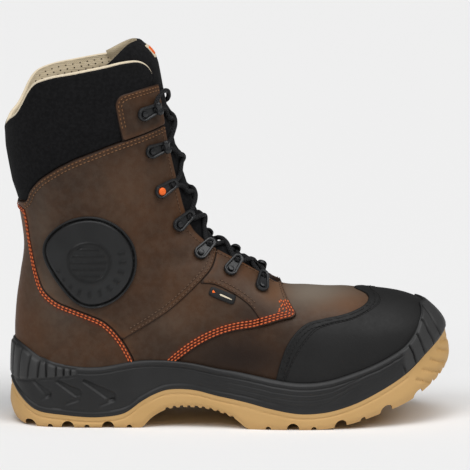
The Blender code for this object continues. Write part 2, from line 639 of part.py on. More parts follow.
def make_overlays(upper, parts, cutters):
    """Toe cap and band, heel counter, quarters, lace patches and ankle guards."""
    items = {"guard": [], "leather": []}
    inner = moved_line(TOE_LINE, *TOE_BAND_STEP)
    ceiling, floor = FAR, 0.0
    band = TOE_LINE + ((TOE_LINE[-1][0], ceiling), (inner[-1][0], ceiling))
    band += inner[::-1] + ((inner[0][0], floor), (TOE_LINE[0][0], floor))
    cap = moved_line(inner, *CAP_STEP)
    cap = ((cap[0][0], floor),) + cap + ((cap[-1][0], ceiling), (FAR, ceiling), (FAR, floor))
    items["guard"].append(make_overlay(upper, "toe_band", band, GAP, TOE_BAND_RISE, parts, cutters))
    items["guard"].append(make_overlay(upper, "toe_cap", cap, GAP, TOE_CAP_RISE, parts, cutters))
    counter = moved_line(COUNTER_LINE, -GAP, -GAP)
    counter = ((-FAR, counter[0][1]),) + counter + ((counter[-1][0], floor), (-FAR, floor))
    items["leather"].append(make_overlay(upper, "heel_counter", counter, GAP, COUNTER_RISE, parts, cutters))
    seam = moved_line(CUFF_SEAM[1:-1], 0.0, -GAP)
    throat = [point for point in upper.throat_line() if point[1] < seam[-1][1]]
    quarter = tuple(throat) + (throat_at(upper, seam[-1][1] + GAP),) + seam[::-1] + COUNTER_LINE
    quarter += ((COUNTER_LINE[-1][0], floor), (QUARTER_LINE[0][0], floor)) + QUARTER_LINE
    low_patch = throat_at(upper, CUFF_SEAM[-2][1] + PATCH_ABOVE_SEAM)
    patch = PATCH_LINE + tuple(point for point in upper.throat_line()[::-1]
                               if low_patch[1] < point[1] < PATCH_LINE[-1][1]) + (low_patch,)
    angles = np.linspace(0, 2 * math.pi, PAD_POINTS, endpoint=False)
    flat = PAD_FLAT / np.maximum(np.cos(angles - PAD_FLAT_ANGLE), 0.1)
    radii = (PAD_RADIUS ** -PAD_CORNER + flat ** -PAD_CORNER) ** (-1 / PAD_CORNER)
    pad = [(PAD_CENTRE[0] + r * math.cos(a), PAD_CENTRE[1] + r * math.sin(a)) for a, r in zip(angles, radii)]
    for side in SIDES:
        items["leather"].append(make_overlay(upper, "quarter_" + side, quarter, GAP, QUARTER_RISE,
                                             parts, cutters, side))
        items["leather"].append(make_overlay(upper, "hook_patch_" + side, patch, CUFF_RISE + GAP, PATCH_RISE,
                                             parts, cutters, side))
        items["guard"].append(make_overlay(upper, "ankle_pad_" + side, pad, QUARTER_RISE + GAP, PAD_RISE,
                                           parts, cutters, side))
    return items


def front_normal(where, y):
    """Outward normal of the upper's front at a section and a distance from its middle."""
    step = 0.05
    along = front_point(upper_row(where + step), y) - front_point(upper_row(where - step), y)
    across = front_point(upper_row(where), y + 1.0) - front_point(upper_row(where), y - 1.0)
    normal = np.cross(across, along)
    return normal / np.linalg.norm(normal)


def make_tongue(parts):
    """Padded tongue under the throat edges, from below the vamp to above the collar."""
    last = len(UPPER_SECTIONS) - 1
    wheres = [THROAT_ROW - TONGUE_ENDS[0]] + list(range(THROAT_ROW, last)) + [last - TONGUE_ENDS[1]]
    shares = np.linspace(-1, 1, TONGUE_COLUMNS)
    rows = []
    for where in wheres:
        half = np.interp(where, (THROAT_ROW, last), TONGUE_HALVES)
        corner = TONGUE_CORNER if where > last - 1 else 0.0
        spots = [(where - corner * share ** 2, half * share) for share in shares]
        rows.append([front_point(upper_row(w), y) - front_normal(w, y) * TONGUE_DEPTH for w, y in spots])
    polygons = []
    for low, high in zip(rows, rows[1:]):
        for i in range(TONGUE_COLUMNS - 1):
            polygons.append([low[i], low[i + 1], high[i + 1], high[i]])
    tongue = new_object("tongue", new_mesh("tongue", polygons), parts)
    wall = tongue.modifiers.new("padding", "SOLIDIFY")
    wall.thickness = TONGUE_THICKNESS * MM
    wall.offset = -1.0
    wall.use_even_offset = True
    apply_modifiers(tongue)
    return tongue


def capsule_outline(start, end, start_radius, end_radius, points):
    """Outline round two circles on the X axis."""
    outline = []
    for i in range(points):
        angle = math.pi / 2 + math.pi * i / (points - 1)
        outline.append((start + start_radius * math.cos(angle), start_radius * math.sin(angle)))
    for i in range(points):
        angle = -math.pi / 2 + math.pi * i / (points - 1)
        outline.append((end + end_radius * math.cos(angle), end_radius * math.sin(angle)))
    return outline


def loop_mesh(cutters):
    """Riveted lace loop lying on its own XY plane, with its tip along +X."""
    curve = bpy.data.curves.new("loop outline", "CURVE")
    curve.dimensions = "2D"
    curve.fill_mode = "BOTH"
    curve.extrude = LOOP_THICKNESS * MM / 2
    start, end, radius = LOOP_SLOT
    for outline in (capsule_outline(0.0, LOOP_LENGTH, LOOP_HEAD, LOOP_TIP, 5),
                    capsule_outline(start, end, radius, radius, 3)):
        spline = curve.splines.new("POLY")
        spline.points.add(len(outline) - 1)
        for point, (x, y) in zip(spline.points, outline):
            point.co = (x * MM, y * MM, 0.0, 1.0)
        spline.use_cyclic_u = True
    plate_curve = new_object("loop outline", curve, cutters)
    graph = bpy.context.evaluated_depsgraph_get()
    graph.update()
    mesh = bpy.data.meshes.new_from_object(plate_curve.evaluated_get(graph))
    work = bmesh.new()
    work.from_mesh(mesh)
    bmesh.ops.remove_doubles(work, verts=work.verts, dist=1e-6)
    bmesh.ops.recalc_face_normals(work, faces=work.faces)
    work.to_mesh(mesh)
    work.free()
    bpy.data.objects.remove(plate_curve)
    plate = new_object("loop plate", mesh, cutters)
    head = bmesh.new()
    top = LOOP_THICKNESS / 2 + RIVET_HEIGHT
    bmesh.ops.create_cone(head, cap_ends=True, segments=RIVET_SIDES, radius1=RIVET_RADIUS * MM,
                          radius2=RIVET_TOP_SHARE * RIVET_RADIUS * MM, depth=top * MM,
                          matrix=Matrix.Translation((0.0, 0.0, top * MM / 2)))
    head_mesh = bpy.data.meshes.new("rivet head")
    head.to_mesh(head_mesh)
    head.free()
    combine(plate, new_object("rivet head", head_mesh, cutters), "UNION")
    mesh = plate.data
    bpy.data.objects.remove(plate)
    return mesh


def make_loops(upper, parts, cutters):
    """Lace loops on both sides, lying on the quarter or the patch with their tips over the throat edge."""
    mesh = loop_mesh(cutters)
    items = []
    for number, loop in enumerate(LOOPS, start=1):
        size = named(LOOP_COLUMNS, loop)
        rise = PATCH_RISE if number == 1 else QUARTER_RISE
        for side in SIDES:
            place, normal = upper.beside(size["rivet_x"], size["rivet_z"], side)
            ahead = Vector((size["tip_x"] - size["rivet_x"], 0.0, size["tip_z"] - size["rivet_z"]))
            up = Vector(normal)
            ahead = (ahead - up * ahead.dot(up)).normalized()
            centre = Vector(place) + up * (rise + GAP + LOOP_LIFT + LOOP_THICKNESS / 2)
            frame = Matrix((ahead, up.cross(ahead), up)).transposed().to_4x4()
            item = new_object(f"loop_{side}_{number}", mesh, parts)
            item.matrix_world = Matrix.Translation((centre - Vector((CENTRE_X, CENTRE_Y, 0.0))) * MM) @ frame
            items.append(item)
    return items


def loop_row(upper, loop):
    """Row number of the section whose throat edge is nearest to a loop's tip."""
    size = named(LOOP_COLUMNS, loop)
    line = np.array(upper.throat_line())
    fine = np.linspace(0, len(line) - 1, FINE_STEPS)
    x = np.interp(fine, np.arange(len(line)), line[:, 0])
    z = np.interp(fine, np.arange(len(line)), line[:, 1])
    nearest = np.argmin((x - size["tip_x"]) ** 2 + (z - size["tip_z"]) ** 2)
    return THROAT_ROW + fine[nearest]


def cord(name, start_row, end_row, y_start, y_end, lift, collection):
    """A run of lace over the tongue between two places on the upper's front, as a closed mesh."""
    curve = bpy.data.curves.new(name, "CURVE")
    curve.dimensions = "3D"
    curve.bevel_depth = LACE_RADIUS * MM
    curve.bevel_resolution = 1
    curve.use_fill_caps = True
    spline = curve.splines.new("POLY")
    spline.points.add(LACE_POINTS - 1)
    shift = np.array((CENTRE_X, CENTRE_Y, 0.0))
    for point, t in zip(spline.points, np.linspace(0, 1, LACE_POINTS)):
        where = start_row + t * (end_row - start_row)
        y = y_start + t * (y_end - y_start)
        place = front_point(upper_row(where), y) + front_normal(where, y) * lift
        point.co = (*((place - shift) * MM), 1.0)
    item = new_object(name, curve, collection)
    graph = bpy.context.evaluated_depsgraph_get()
    graph.update()
    mesh = bpy.data.meshes.new_from_object(item.evaluated_get(graph))
    bpy.data.objects.remove(item)
    work = bmesh.new()
    work.from_mesh(mesh)
    bmesh.ops.remove_doubles(work, verts=work.verts, dist=1e-6)
    bmesh.ops.recalc_face_normals(work, faces=work.faces)
    work.to_mesh(mesh)
    work.free()
    return new_object(name, mesh, collection)


def make_laces(upper, parts, cutters):
    """Crossed runs of lace between neighbouring loops, and the bar at the lowest pair."""
    rows = [loop_row(upper, loop) for loop in LOOPS]
    items = []
    for number, (high, low) in enumerate(zip(rows, rows[1:]), start=1):
        start = low + LACE_FREE * (high - low)
        end = high - LACE_FREE * (high - low)
        item = cord(f"lace_cross_{number}", start, end, -LACE_REACH, LACE_REACH, LACE_LIFT, parts)
        other = cord("other run", start, end, LACE_REACH, -LACE_REACH, LACE_LIFT + LACE_OVER, cutters)
        items.append(combine(item, other, "UNION"))
    items.append(cord("lace_bar", rows[-1], rows[-1], -LACE_REACH, LACE_REACH, LACE_LIFT, parts))
    return items


def new_material(name):
    """Principled material with the piece's colour, roughness and metallic value."""
    colour, roughness, metallic = MATERIALS[name]
    material = bpy.data.materials.new(name)
    material.use_nodes = True
    shader = material.node_tree.nodes["Principled BSDF"]
    shader.inputs["Base Color"].default_value = (*colour, 1.0)
    shader.inputs["Roughness"].default_value = roughness
    shader.inputs["Metallic"].default_value = metallic
    return material


def finish(items, material):
    """Give objects one material."""
    for item in items:
        item.data.materials.clear()
        item.data.materials.append(material)


def main():
    """Build every piece of the boot."""
    for item in list(bpy.data.objects):
        bpy.data.objects.remove(item)
    parts = bpy.data.collections.new("safety boot")
    cutters = bpy.data.collections.new("cutters")
    bpy.context.scene.collection.children.link(parts)
    bpy.context.scene.collection.children.link(cutters)

    upper = Upper()
    pieces = {"rubber": [make_outsole(parts, cutters)]}
    pieces["moulded"] = [make_midsole(upper, parts, cutters)]
    pieces["footbed"] = [make_insole(parts)]
    pieces["leather"] = [make_upper(upper, parts, cutters)]
    pieces["textile"] = [make_cuff(upper, parts, cutters), make_tongue(parts)]
    overlays = make_overlays(upper, parts, cutters)
    pieces["leather"] += overlays["leather"]
    pieces["guard"] = overlays["guard"]
    pieces["hardware"] = make_loops(upper, parts, cutters)
    pieces["cord"] = make_laces(upper, parts, cutters)
    for name, items in pieces.items():
        finish(items, new_material(name))

    root = bpy.data.objects.new("boot", None)
    parts.objects.link(root)
    for items in pieces.values():
        for item in items:
            item.parent = root


main()
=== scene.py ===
"""Looks of a high lace-up safety boot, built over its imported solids.

Sizes are millimetres in the boot's measuring frame: +X to the toe, +Y to the inner side, +Z up, floor at 0.
"""

import logging
import math
from dataclasses import dataclass, field
from enum import Enum
from typing import Callable, Iterable, Sequence

import bmesh
import bpy
import numpy as np
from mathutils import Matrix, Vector
from mathutils.bvhtree import BVHTree


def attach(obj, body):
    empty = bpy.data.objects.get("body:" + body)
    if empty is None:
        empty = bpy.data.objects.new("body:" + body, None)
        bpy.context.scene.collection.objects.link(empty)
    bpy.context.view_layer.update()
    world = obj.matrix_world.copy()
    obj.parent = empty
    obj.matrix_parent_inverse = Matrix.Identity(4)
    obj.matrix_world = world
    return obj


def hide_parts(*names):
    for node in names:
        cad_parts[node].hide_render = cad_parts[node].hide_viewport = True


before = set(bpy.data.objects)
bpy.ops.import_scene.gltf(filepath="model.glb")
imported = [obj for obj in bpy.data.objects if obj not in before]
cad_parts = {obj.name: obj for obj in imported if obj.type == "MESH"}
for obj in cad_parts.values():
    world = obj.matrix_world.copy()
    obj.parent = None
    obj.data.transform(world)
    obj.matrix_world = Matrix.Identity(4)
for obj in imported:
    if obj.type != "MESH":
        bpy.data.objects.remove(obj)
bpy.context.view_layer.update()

LOG = logging.getLogger("boot")
Array = np.ndarray
Line = Sequence[tuple[float, float]]
Colour = tuple[float, float, float]
Faces = list[tuple[int, ...]]
Mesh = tuple[Array, Faces]
Places = list[tuple[Array, Array, Array]]
Socket = bpy.types.NodeSocket
Material = bpy.types.Material
Item = bpy.types.Object

MM = 0.001
# Middle of the boot's box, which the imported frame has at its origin.
CENTRE = np.array((0.7, 1.2, 0.0))
# A cut that passes this near to a point goes through the point.
SNAP = 0.08
# Beyond every edge of the boot.
FAR = 400.0
# Stitches show from this height over the midsole's edge.
CLEAR = 1.0

# Sections of the upper from the toe to the top of the shaft.
UPPER_COLUMNS = ("top_x", "top_z", "base_x", "base_z", "lateral", "medial", "base_lateral", "base_medial",
                 "belly", "mid_y", "throat")
UPPER_SECTIONS = (
    (146.5, 62, 146.5, 48, 0, 0, 0, 0, 0.55, 8, 0),
    (144.9, 70, 144.9, 46.8, 12.8, 13, 11, 11.2, 0.55, 7.6, 7),
    (140.4, 76.6, 140.4, 44, 23, 23.4, 20.6, 21, 0.57, 6.9, 12),
    (131.3, 82.3, 131.3, 38.5, 33.4, 34.2, 30.4, 31.2, 0.6, 5.7, 15),
    (119, 86.3, 119, 32.5, 41, 41.6, 38.2, 38.8, 0.62, 4.3, 16),
    (102, 89, 102, 26.5, 46, 46.2, 43.5, 43.2, 0.63, 2.6, 16),
    (78, 90.6, 78, 21.8, 48.6, 47.2, 45.5, 43.6, 0.63, 1.2, 15),
    (56, 91.4, 56, 20, 49, 45.4, 45.4, 41.2, 0.62, 0.4, 14),
    (38, 92.6, 38, 20.3, 47.6, 43, 43.4, 38.4, 0.61, 0, 13),
    (22, 103, 14, 21.4, 45.3, 39.8, 40.3, 34.5, 0.6, 0, 15),
    (7, 113.5, -14, 23.3, 42.8, 37.2, 37, 31.2, 0.59, 0, 17),
    (-6, 122.5, -46, 26.2, 40.2, 35.8, 34, 30.2, 0.57, 0, 18),
    (-14, 131.5, -92, 28.2, 37.6, 36.2, 31.5, 30.6, 0.55, 0, 18.5),
    (-18, 138.5, -123, 28.8, 36.8, 36.4, 26.5, 26.5, 0.54, 0, 19),
    (-20, 143, -136.5, 29.4, 36.6, 36.4, 15, 15, 0.53, 0, 19),
    (-21.8, 147, -141.5, 31, 36.6, 36.6, 0, 0, 0.52, 0, 19),
    (-25, 155.5, -146.4, 52, 36.8, 36.8, 0, 0, 0.52, 0, 19),
    (-28, 164.5, -145.8, 80, 37.6, 37.6, 0, 0, 0.51, 0, 19.5),
    (-31.5, 175.5, -142.6, 102.5, 38.2, 38.2, 0, 0, 0.51, 0, 19.5),
    (-34.6, 186.5, -139.2, 124, 38, 38, 0, 0, 0.5, 0, 19.5),
    (-37.5, 199, -141.6, 146, 38.6, 38.6, 0, 0, 0.5, 0, 20),
    (-40.5, 213.5, -146.2, 168, 40, 40, 0, 0, 0.5, 0, 20),
    (-43.3, 227, -149.8, 188, 41.5, 41.5, 0, 0, 0.5, 0, 20),
    (-45.8, 240, -152.6, 207, 42.8, 42.8, 0, 0, 0.5, 0, 20),
    (-49, 252, -157, 232, 43.6, 43.6, 0, 0, 0.5, 0, 20),
    (-58, 262.5, -164, 264, 44, 44, 0, 0, 0.5, 0, 20),
)
THROAT_ROW = 8
LAST_ROW = len(UPPER_SECTIONS) - 1

# Stations of the sole: x, half width, middle, ground, join of the two soles, top edge, inset of the lip.
SOLE_STATIONS = (
    (-151, 0, 0, 7, 27.5, 57, 1.2), (-149.3, 11, 0, 5, 25.5, 56, 1.2),
    (-144, 22.5, 0, 1.6, 19.5, 53, 1), (-133, 32.8, 0, 0, 11.5, 47, 0.8),
    (-113, 38.4, -0.3, 0, 8.7, 42.4, 0.6), (-86, 39.6, -1, 0, 7.6, 41.4, 0.6),
    (-72, 39.8, -1.4, 0, 10.2, 44.2, 0.6), (-60, 39.8, -1.8, 0.4, 18.5, 46, 0.6),
    (-53, 39.9, -2, 7.2, 22.6, 46.2, 0.6), (-44, 40.2, -2.1, 12.4, 26.2, 46, 0.6),
    (-27, 41.6, -2.1, 14.5, 26.8, 44.4, 0.6), (-8, 44.4, -1.8, 11.6, 22.6, 40.6, 0.6),
    (3, 46.4, -1.5, 7, 20.4, 39, 0.6), (12, 48.2, -1.2, 0.4, 18.4, 37.2, 0.6),
    (27, 51.2, -0.7, 0, 14.6, 34, 0.6), (50, 54, 0.4, 0, 11, 31.2, 0.6),
    (63, 54.4, 1, 0.2, 11.7, 32, 0.6), (82, 54.2, 1.8, 3.6, 16.5, 37, 0.6),
    (102, 52.2, 3.2, 9.6, 25.4, 44, 0.8), (120, 47.4, 4.6, 15.6, 35.4, 53, 1.4),
    (137, 38.6, 6, 25, 49, 67.5, 2.2), (148, 26.2, 7.2, 32.5, 56.8, 76.5, 2.8),
    (153.5, 13, 7.9, 37, 60.4, 80.5, 3.2), (155, 0, 8.1, 38.5, 61.2, 81.4, 3.3),
)
# Notches of the tread: x and radius.
ARCH_NOTCHES = tuple(-42.9 + 4.95 * step for step in range(10))
NOTCHES = ((-136.5, 4), (-122.7, 1.8), (-110.5, 4.2), (-97.4, 1.8), (-83, 4.2), (-68.5, 1.8), (25.8, 1.8),
           (42.7, 4.2), (57.1, 1.8), (75.4, 4.2), (91, 1.8), (107.2, 4.2), (130, 3.2))

# Edges of the panels in the side view.
CUFF_SEAM = ((-143.6, 153.4), (-137, 153.8), (-134, 161.5), (-128.8, 168.7), (-119.5, 175.9), (-106.2, 183.5),
             (-92.1, 189.2), (-77.9, 194.6), (-53.6, 202.4), (-40, 207.5))
COLLAR_LINE = ((-152.6, 205), (-150.5, 209.5), (-145, 215.2), (-141.1, 221.9), (-136.8, 230.5),
               (-132.1, 236.5), (-124, 240), (-104, 244.2), (-83.6, 248.2), (-68.5, 251), (-60.5, 250.8),
               (-54.9, 247.6), (-51, 241.5))
COUNTER_LINE = ((-137, 148), (-135.4, 140), (-134, 129.4), (-131.6, 116.5), (-129, 105.1), (-124.9, 93.9),
                (-117.3, 87), (-106.8, 82.5), (-95.1, 77.9), (-85.8, 73.6), (-77.7, 66.5), (-71.8, 58.7),
                (-65.5, 47.4))
QUARTER_LINE = ((-46, 36), (-33.1, 47.9), (-24.8, 54.3), (-16.5, 59.4), (-5.5, 64.5), (4.9, 67.4), (15.3, 68.9),
                (29.2, 72.1), (36.1, 73.7), (43.6, 75.3), (45.2, 76.4), (42.2, 82), (38.3, 88.6), (34.9, 96.7))
SHAFT_LINE = ((-69.5, 62.8), (-60.8, 68), (-48.3, 75.7), (-40.1, 81.4), (-33.1, 87.3), (-24.8, 94.8),
              (-18.2, 101.2), (-12.2, 108.2), (-9.8, 114.8), (-9, 127))
EYESTAY_LINE = ((-24, 98.6), (-10, 97.3), (-1.1, 93.2), (7, 88.4), (13.8, 82.9), (19.2, 76.1))
TOE_LINE = ((31.2, 33.5), (34.1, 44.8), (38.8, 57.6), (44.6, 65.7), (51.7, 71.3), (63.5, 74.4), (75.4, 76.3),
            (86.1, 79), (92.2, 81.4), (95.4, 83.6), (96.2, 85.2), (95.4, 86.6), (93, 87.8), (88, 89.2), (78, 91.5))
BAND_LINE = ((36.4, 32.9), (41.1, 45.9), (49.3, 59.7), (58.8, 68.8), (69.5, 72), (81.2, 73.9), (93.3, 77.9),
             (99.2, 80.4), (102.4, 82.4), (103.4, 84.2), (102.6, 85.6), (100, 86.9), (95, 88.5), (84, 91.5))
PATCH_LINE = ((-70.6, 188), (-73.2, 200), (-76.2, 214), (-76.9, 224.1), (-74.6, 227.4), (-67.8, 229.7),
              (-57.5, 232.1), (-47.5, 233.7))
# Lace loops from the top down: rivet and tip.
LOOPS = ((-59.4, 214.5, -49, 217.6), (-54, 188.7, -42.6, 191.5), (-47.7, 161.4, -37.9, 165.8),
         (-35.4, 137.7, -27.6, 142.8), (-20, 117.2, -13.2, 124.9), (0.2, 105.6, 5, 113),
         (21.2, 94, 24.4, 101.8))
HOOK_COUNT = 2
ACCENT_LOOP = 2

# Soft folds: depth, width and line.
CREASES = (
    (0.55, 5, ((-26, 142), (-42, 131), (-62, 126))),
    (0.45, 4.5, ((-12, 122), (-30, 113), (-50, 111))),
    (-0.4, 7, ((-20, 133), (-38, 121), (-58, 118))),
    (0.5, 6, ((46, 90), (50, 80), (52, 72))),
    (-0.35, 7, ((58, 90), (62, 82), (66, 77))),
)


class Side(Enum):
    """The two sides of the boot, as the sign of Y."""

    LATERAL = -1
    MEDIAL = 1

    @property
    def label(self) -> str:
        """Name of the side as pieces use it."""
        return self.name.lower()

    @property
    def other(self) -> "Side":
        """The opposite side."""
        return Side(-self.value)


class Tint(Enum):
    """Colour changes of a finish, by the name of the value that carries them. Some are painted light: the pale
    pull-up tint of the leather is partly a painted highlight, and moulded parts carry a painted highlight on raised
    faces and painted shade in their grooves.
    """

    BURNISH = "burnish"
    HAZE = "haze"
    SHADE = "shade"
    SEWN = "sewn"
    RECESS = "recess"
    WORN = "worn"


# Colour changes of the leather: kind, middle in x and z, width, height and strength. The pale pull-up tints are
# partly a painted highlight, strongest on the top of the vamp.
TINTS = (
    (Tint.BURNISH, 30, 90, 11, 8, 0.65),
    (Tint.BURNISH, 8, 106, 12, 8, 0.35),
    (Tint.BURNISH, -14, 122, 10, 10, 0.3),
    (Tint.BURNISH, -30, 146, 8, 14, 0.25),
    (Tint.BURNISH, -132, 64, 12, 15, 0.3),
    (Tint.BURNISH, -146, 95, 7, 50, 0.5),
    (Tint.BURNISH, -138, 138, 3, 12, 0.7),
    (Tint.BURNISH, -75, 60, 22, 9, 0.1),
    (Tint.BURNISH, -60, 150, 26, 20, 0.12),
    (Tint.BURNISH, -45, 100, 14, 12, 0.12),
    (Tint.BURNISH, 82, 83, 15, 6, 0.42),
    (Tint.BURNISH, 60, 80, 10, 6, 0.2),
    (Tint.BURNISH, -58, 226, 12, 8, 0.25),
    # pale pull-up tints, partly a painted highlight, strongest on the vamp top
    (Tint.HAZE, 60, 91, 30, 9, 1.1),
    (Tint.HAZE, -70, 168, 30, 18, 0.08),
    (Tint.HAZE, -40, 74, 16, 10, 0.14),
    (Tint.HAZE, -126, 140, 8, 26, 0.2),
    (Tint.HAZE, -116, 82, 16, 22, 0.2),
    (Tint.HAZE, -123, 100, 8, 14, 0.2),
    (Tint.SHADE, 8, 49, 42, 17, 1.1),
    (Tint.SHADE, 14, 79, 13, 8, 0.62),
    (Tint.SHADE, -70, 88, 20, 14, 0.25),
)


def smooth_rows(rows: Array, where: Array) -> Array:
    """Smooth curve through the rows of a table.

    Args:
        rows: table, one row a knot.
        where: row numbers with fractions.
    Returns:
        One row for each place.
    """
    rows = np.asarray(rows, float)
    steps = np.linalg.norm(np.diff(rows, axis=0), axis=1)
    slopes = np.diff(rows, axis=0) / steps[:, None]
    share = (steps[:-1] / (steps[:-1] + steps[1:]))[:, None]
    tangents = np.vstack((slopes[:1], (1.0 - share) * slopes[:-1] + share * slopes[1:], slopes[-1:]))
    gap = np.clip(where.astype(int), 0, len(steps) - 1)
    t = (where - gap)[:, None]
    span = steps[gap][:, None]
    return ((1 + 2 * t) * (1 - t) ** 2 * rows[gap] + t * (1 - t) ** 2 * span * tangents[gap]
            + t ** 2 * (3 - 2 * t) * rows[gap + 1] + t ** 2 * (t - 1) * span * tangents[gap + 1])


def run_of(points: Array) -> Array:
    """Length along a line at each of its points."""
    return np.concatenate(((0.0,), np.cumsum(np.linalg.norm(np.diff(points, axis=0), axis=1))))


def unit(rows: Array) -> Array:
    """Rows scaled to length 1."""
    return rows / np.maximum(np.linalg.norm(rows, axis=1), 1e-9)[:, None]


def smooth_line(points: Line, step: float = 1.5) -> Array:
    """Smooth side-view line through (x, z) knots, cut in equal steps."""
    run = run_of(np.array(points, float))
    count = max(2, round(run[-1] / step))
    return smooth_rows(points, np.interp(np.linspace(0.0, run[-1], count + 1), run, np.arange(len(run))))


def ease(value: Array | float, low: float, high: float) -> Array:
    """Soft step from 0 at low to 1 at high."""
    t = np.clip((np.asarray(value) - low) / (high - low), 0.0, 1.0)
    return t * t * (3.0 - 2.0 * t)


def ridge(distance: Array, width: float | Array) -> Array:
    """Rounded bump of height 1 over a distance of 0."""
    return np.exp(-(distance / width) ** 2)


def rounded(edge: Array, width: float) -> Array:
    """Quarter-round rise from 0 at an edge to 1 at a width inside it."""
    return np.sqrt(1.0 - (1.0 - np.clip(edge / width, 0.0, 1.0)) ** 2)


@dataclass(frozen=True)
class Bead:
    """Rounded bump across a distance: height, place and width."""

    height: float
    place: float
    width: float

    def at(self, distance: Array) -> Array:
        """Height of the bump at a distance."""
        return self.height * ridge(distance - self.place, self.width)


def line_distance(flat: Array, line: Array) -> tuple[Array, Array, Array]:
    """Nearest place on a side-view line.

    Args:
        flat: (x, z) places.
        line: points of the line.
    Returns:
        Distance, nearest point and share along the line of each place.
    """
    best = np.full(len(flat), np.inf)
    nearest = np.zeros((len(flat), 2))
    share = np.zeros(len(flat))
    for number, (start, end) in enumerate(zip(line, line[1:])):
        step = end - start
        t = np.clip(((flat - start) @ step) / max(step @ step, 1e-9), 0.0, 1.0)
        spot = start + t[:, None] * step
        gap = ((flat - spot) ** 2).sum(axis=1)
        closer = gap < best
        best[closer] = gap[closer]
        nearest[closer] = spot[closer]
        share[closer] = (number + t[closer]) / (len(line) - 1)
    return np.sqrt(best), nearest, share


def inside(flat: Array, outline: Array) -> Array:
    """True for places inside a closed side-view outline."""
    result = np.zeros(len(flat), bool)
    x, z = flat.T
    for (ax, az), (bx, bz) in zip(outline, np.roll(outline, -1, axis=0)):
        if az != bz:
            result ^= ((az > z) != (bz > z)) & (x < ax + (z - az) * (bx - ax) / (bz - az))
    return result


def face_normals(points: Array, faces: Faces) -> Array:
    """Point normals averaged over the faces round each point."""
    normals = np.zeros_like(points)
    for size in {len(face) for face in faces}:
        index = np.array([face for face in faces if len(face) == size])
        spokes = points[index[:, 1:]] - points[index[:, :1]]
        area = np.cross(spokes[:, :-1], spokes[:, 1:]).sum(axis=1)
        for column in range(size):
            np.add.at(normals, index[:, column], area)
    return unit(normals)


def grid_quads(rows: int, columns: int, start: int = 0) -> Array:
    """Corner numbers of the faces of a grid of points."""
    index = start + np.arange(rows * columns).reshape(rows, columns)
    return np.stack((index[:-1, :-1], index[:-1, 1:], index[1:, 1:], index[1:, :-1]), axis=2).reshape(-1, 4)


def wall_faces(levels: int, sides: int) -> Faces:
    """Faces of a wall through closed rings of points."""
    return [(a + i, a + (i + 1) % sides, a + sides + (i + 1) % sides, a + sides + i)
            for a in range(0, (levels - 1) * sides, sides) for i in range(sides)]


def capped(rings: Sequence[Array]) -> Mesh:
    """Closed solid through rings of points, with flat ends."""
    sides = len(rings[0])
    last = (len(rings) - 1) * sides
    ends = [tuple(range(sides))[::-1], tuple(range(last, last + sides))]
    return np.vstack(rings), wall_faces(len(rings), sides) + ends


def joined(*meshes: Mesh) -> Mesh:
    """Several meshes as one."""
    starts = np.cumsum([0] + [len(points) for points, _ in meshes])
    faces = [tuple(i + start for i in face) for (_, rings), start in zip(meshes, starts) for face in rings]
    return np.vstack([points for points, _ in meshes]), faces


@dataclass
class Path:
    """A line over a surface, with the surface's normals."""

    points: Array
    normals: Array

    def length(self) -> float:
        """Length of the line."""
        return float(run_of(self.points)[-1])

    def side_view(self) -> Array:
        """X and Z of the line's points."""
        return self.points[:, (0, 2)].T

    def over_sole(self) -> Array:
        """True for the points that stand clear of the midsole."""
        x, z = self.side_view()
        return z > np.interp(x, [row[0] for row in SOLE_STATIONS], [row[5] for row in SOLE_STATIONS]) + CLEAR

    def evened(self, step: float, passes: int = 3) -> "Path":
        """The same line smoothed a little and cut in equal steps."""
        tables = [self.points.copy(), self.normals.copy()]
        for table in tables * passes:
            table[1:-1] = 0.25 * table[:-2] + 0.5 * table[1:-1] + 0.25 * table[2:]
        run = run_of(tables[0])
        places = np.linspace(0.0, run[-1], max(2, round(run[-1] / step)) + 1)
        points, normals = (np.stack([np.interp(places, run, column) for column in table.T], axis=1)
                           for table in tables)
        return Path(points, unit(normals))

    def lifted(self, height: float) -> "Path":
        """The same line raised along its normals."""
        return Path(self.points + height * self.normals, self.normals)

    def runs(self, keep: Array, shortest: float = 4.0) -> list["Path"]:
        """Stretches of the line whose points are kept, short ones left out."""
        edges = np.flatnonzero(np.diff(np.concatenate(((0,), keep.astype(int), (0,)))))
        parts = [Path(self.points[a:b], self.normals[a:b]) for a, b in zip(edges[::2], edges[1::2]) if b - a > 1]
        return [part for part in parts if part.length() >= shortest]


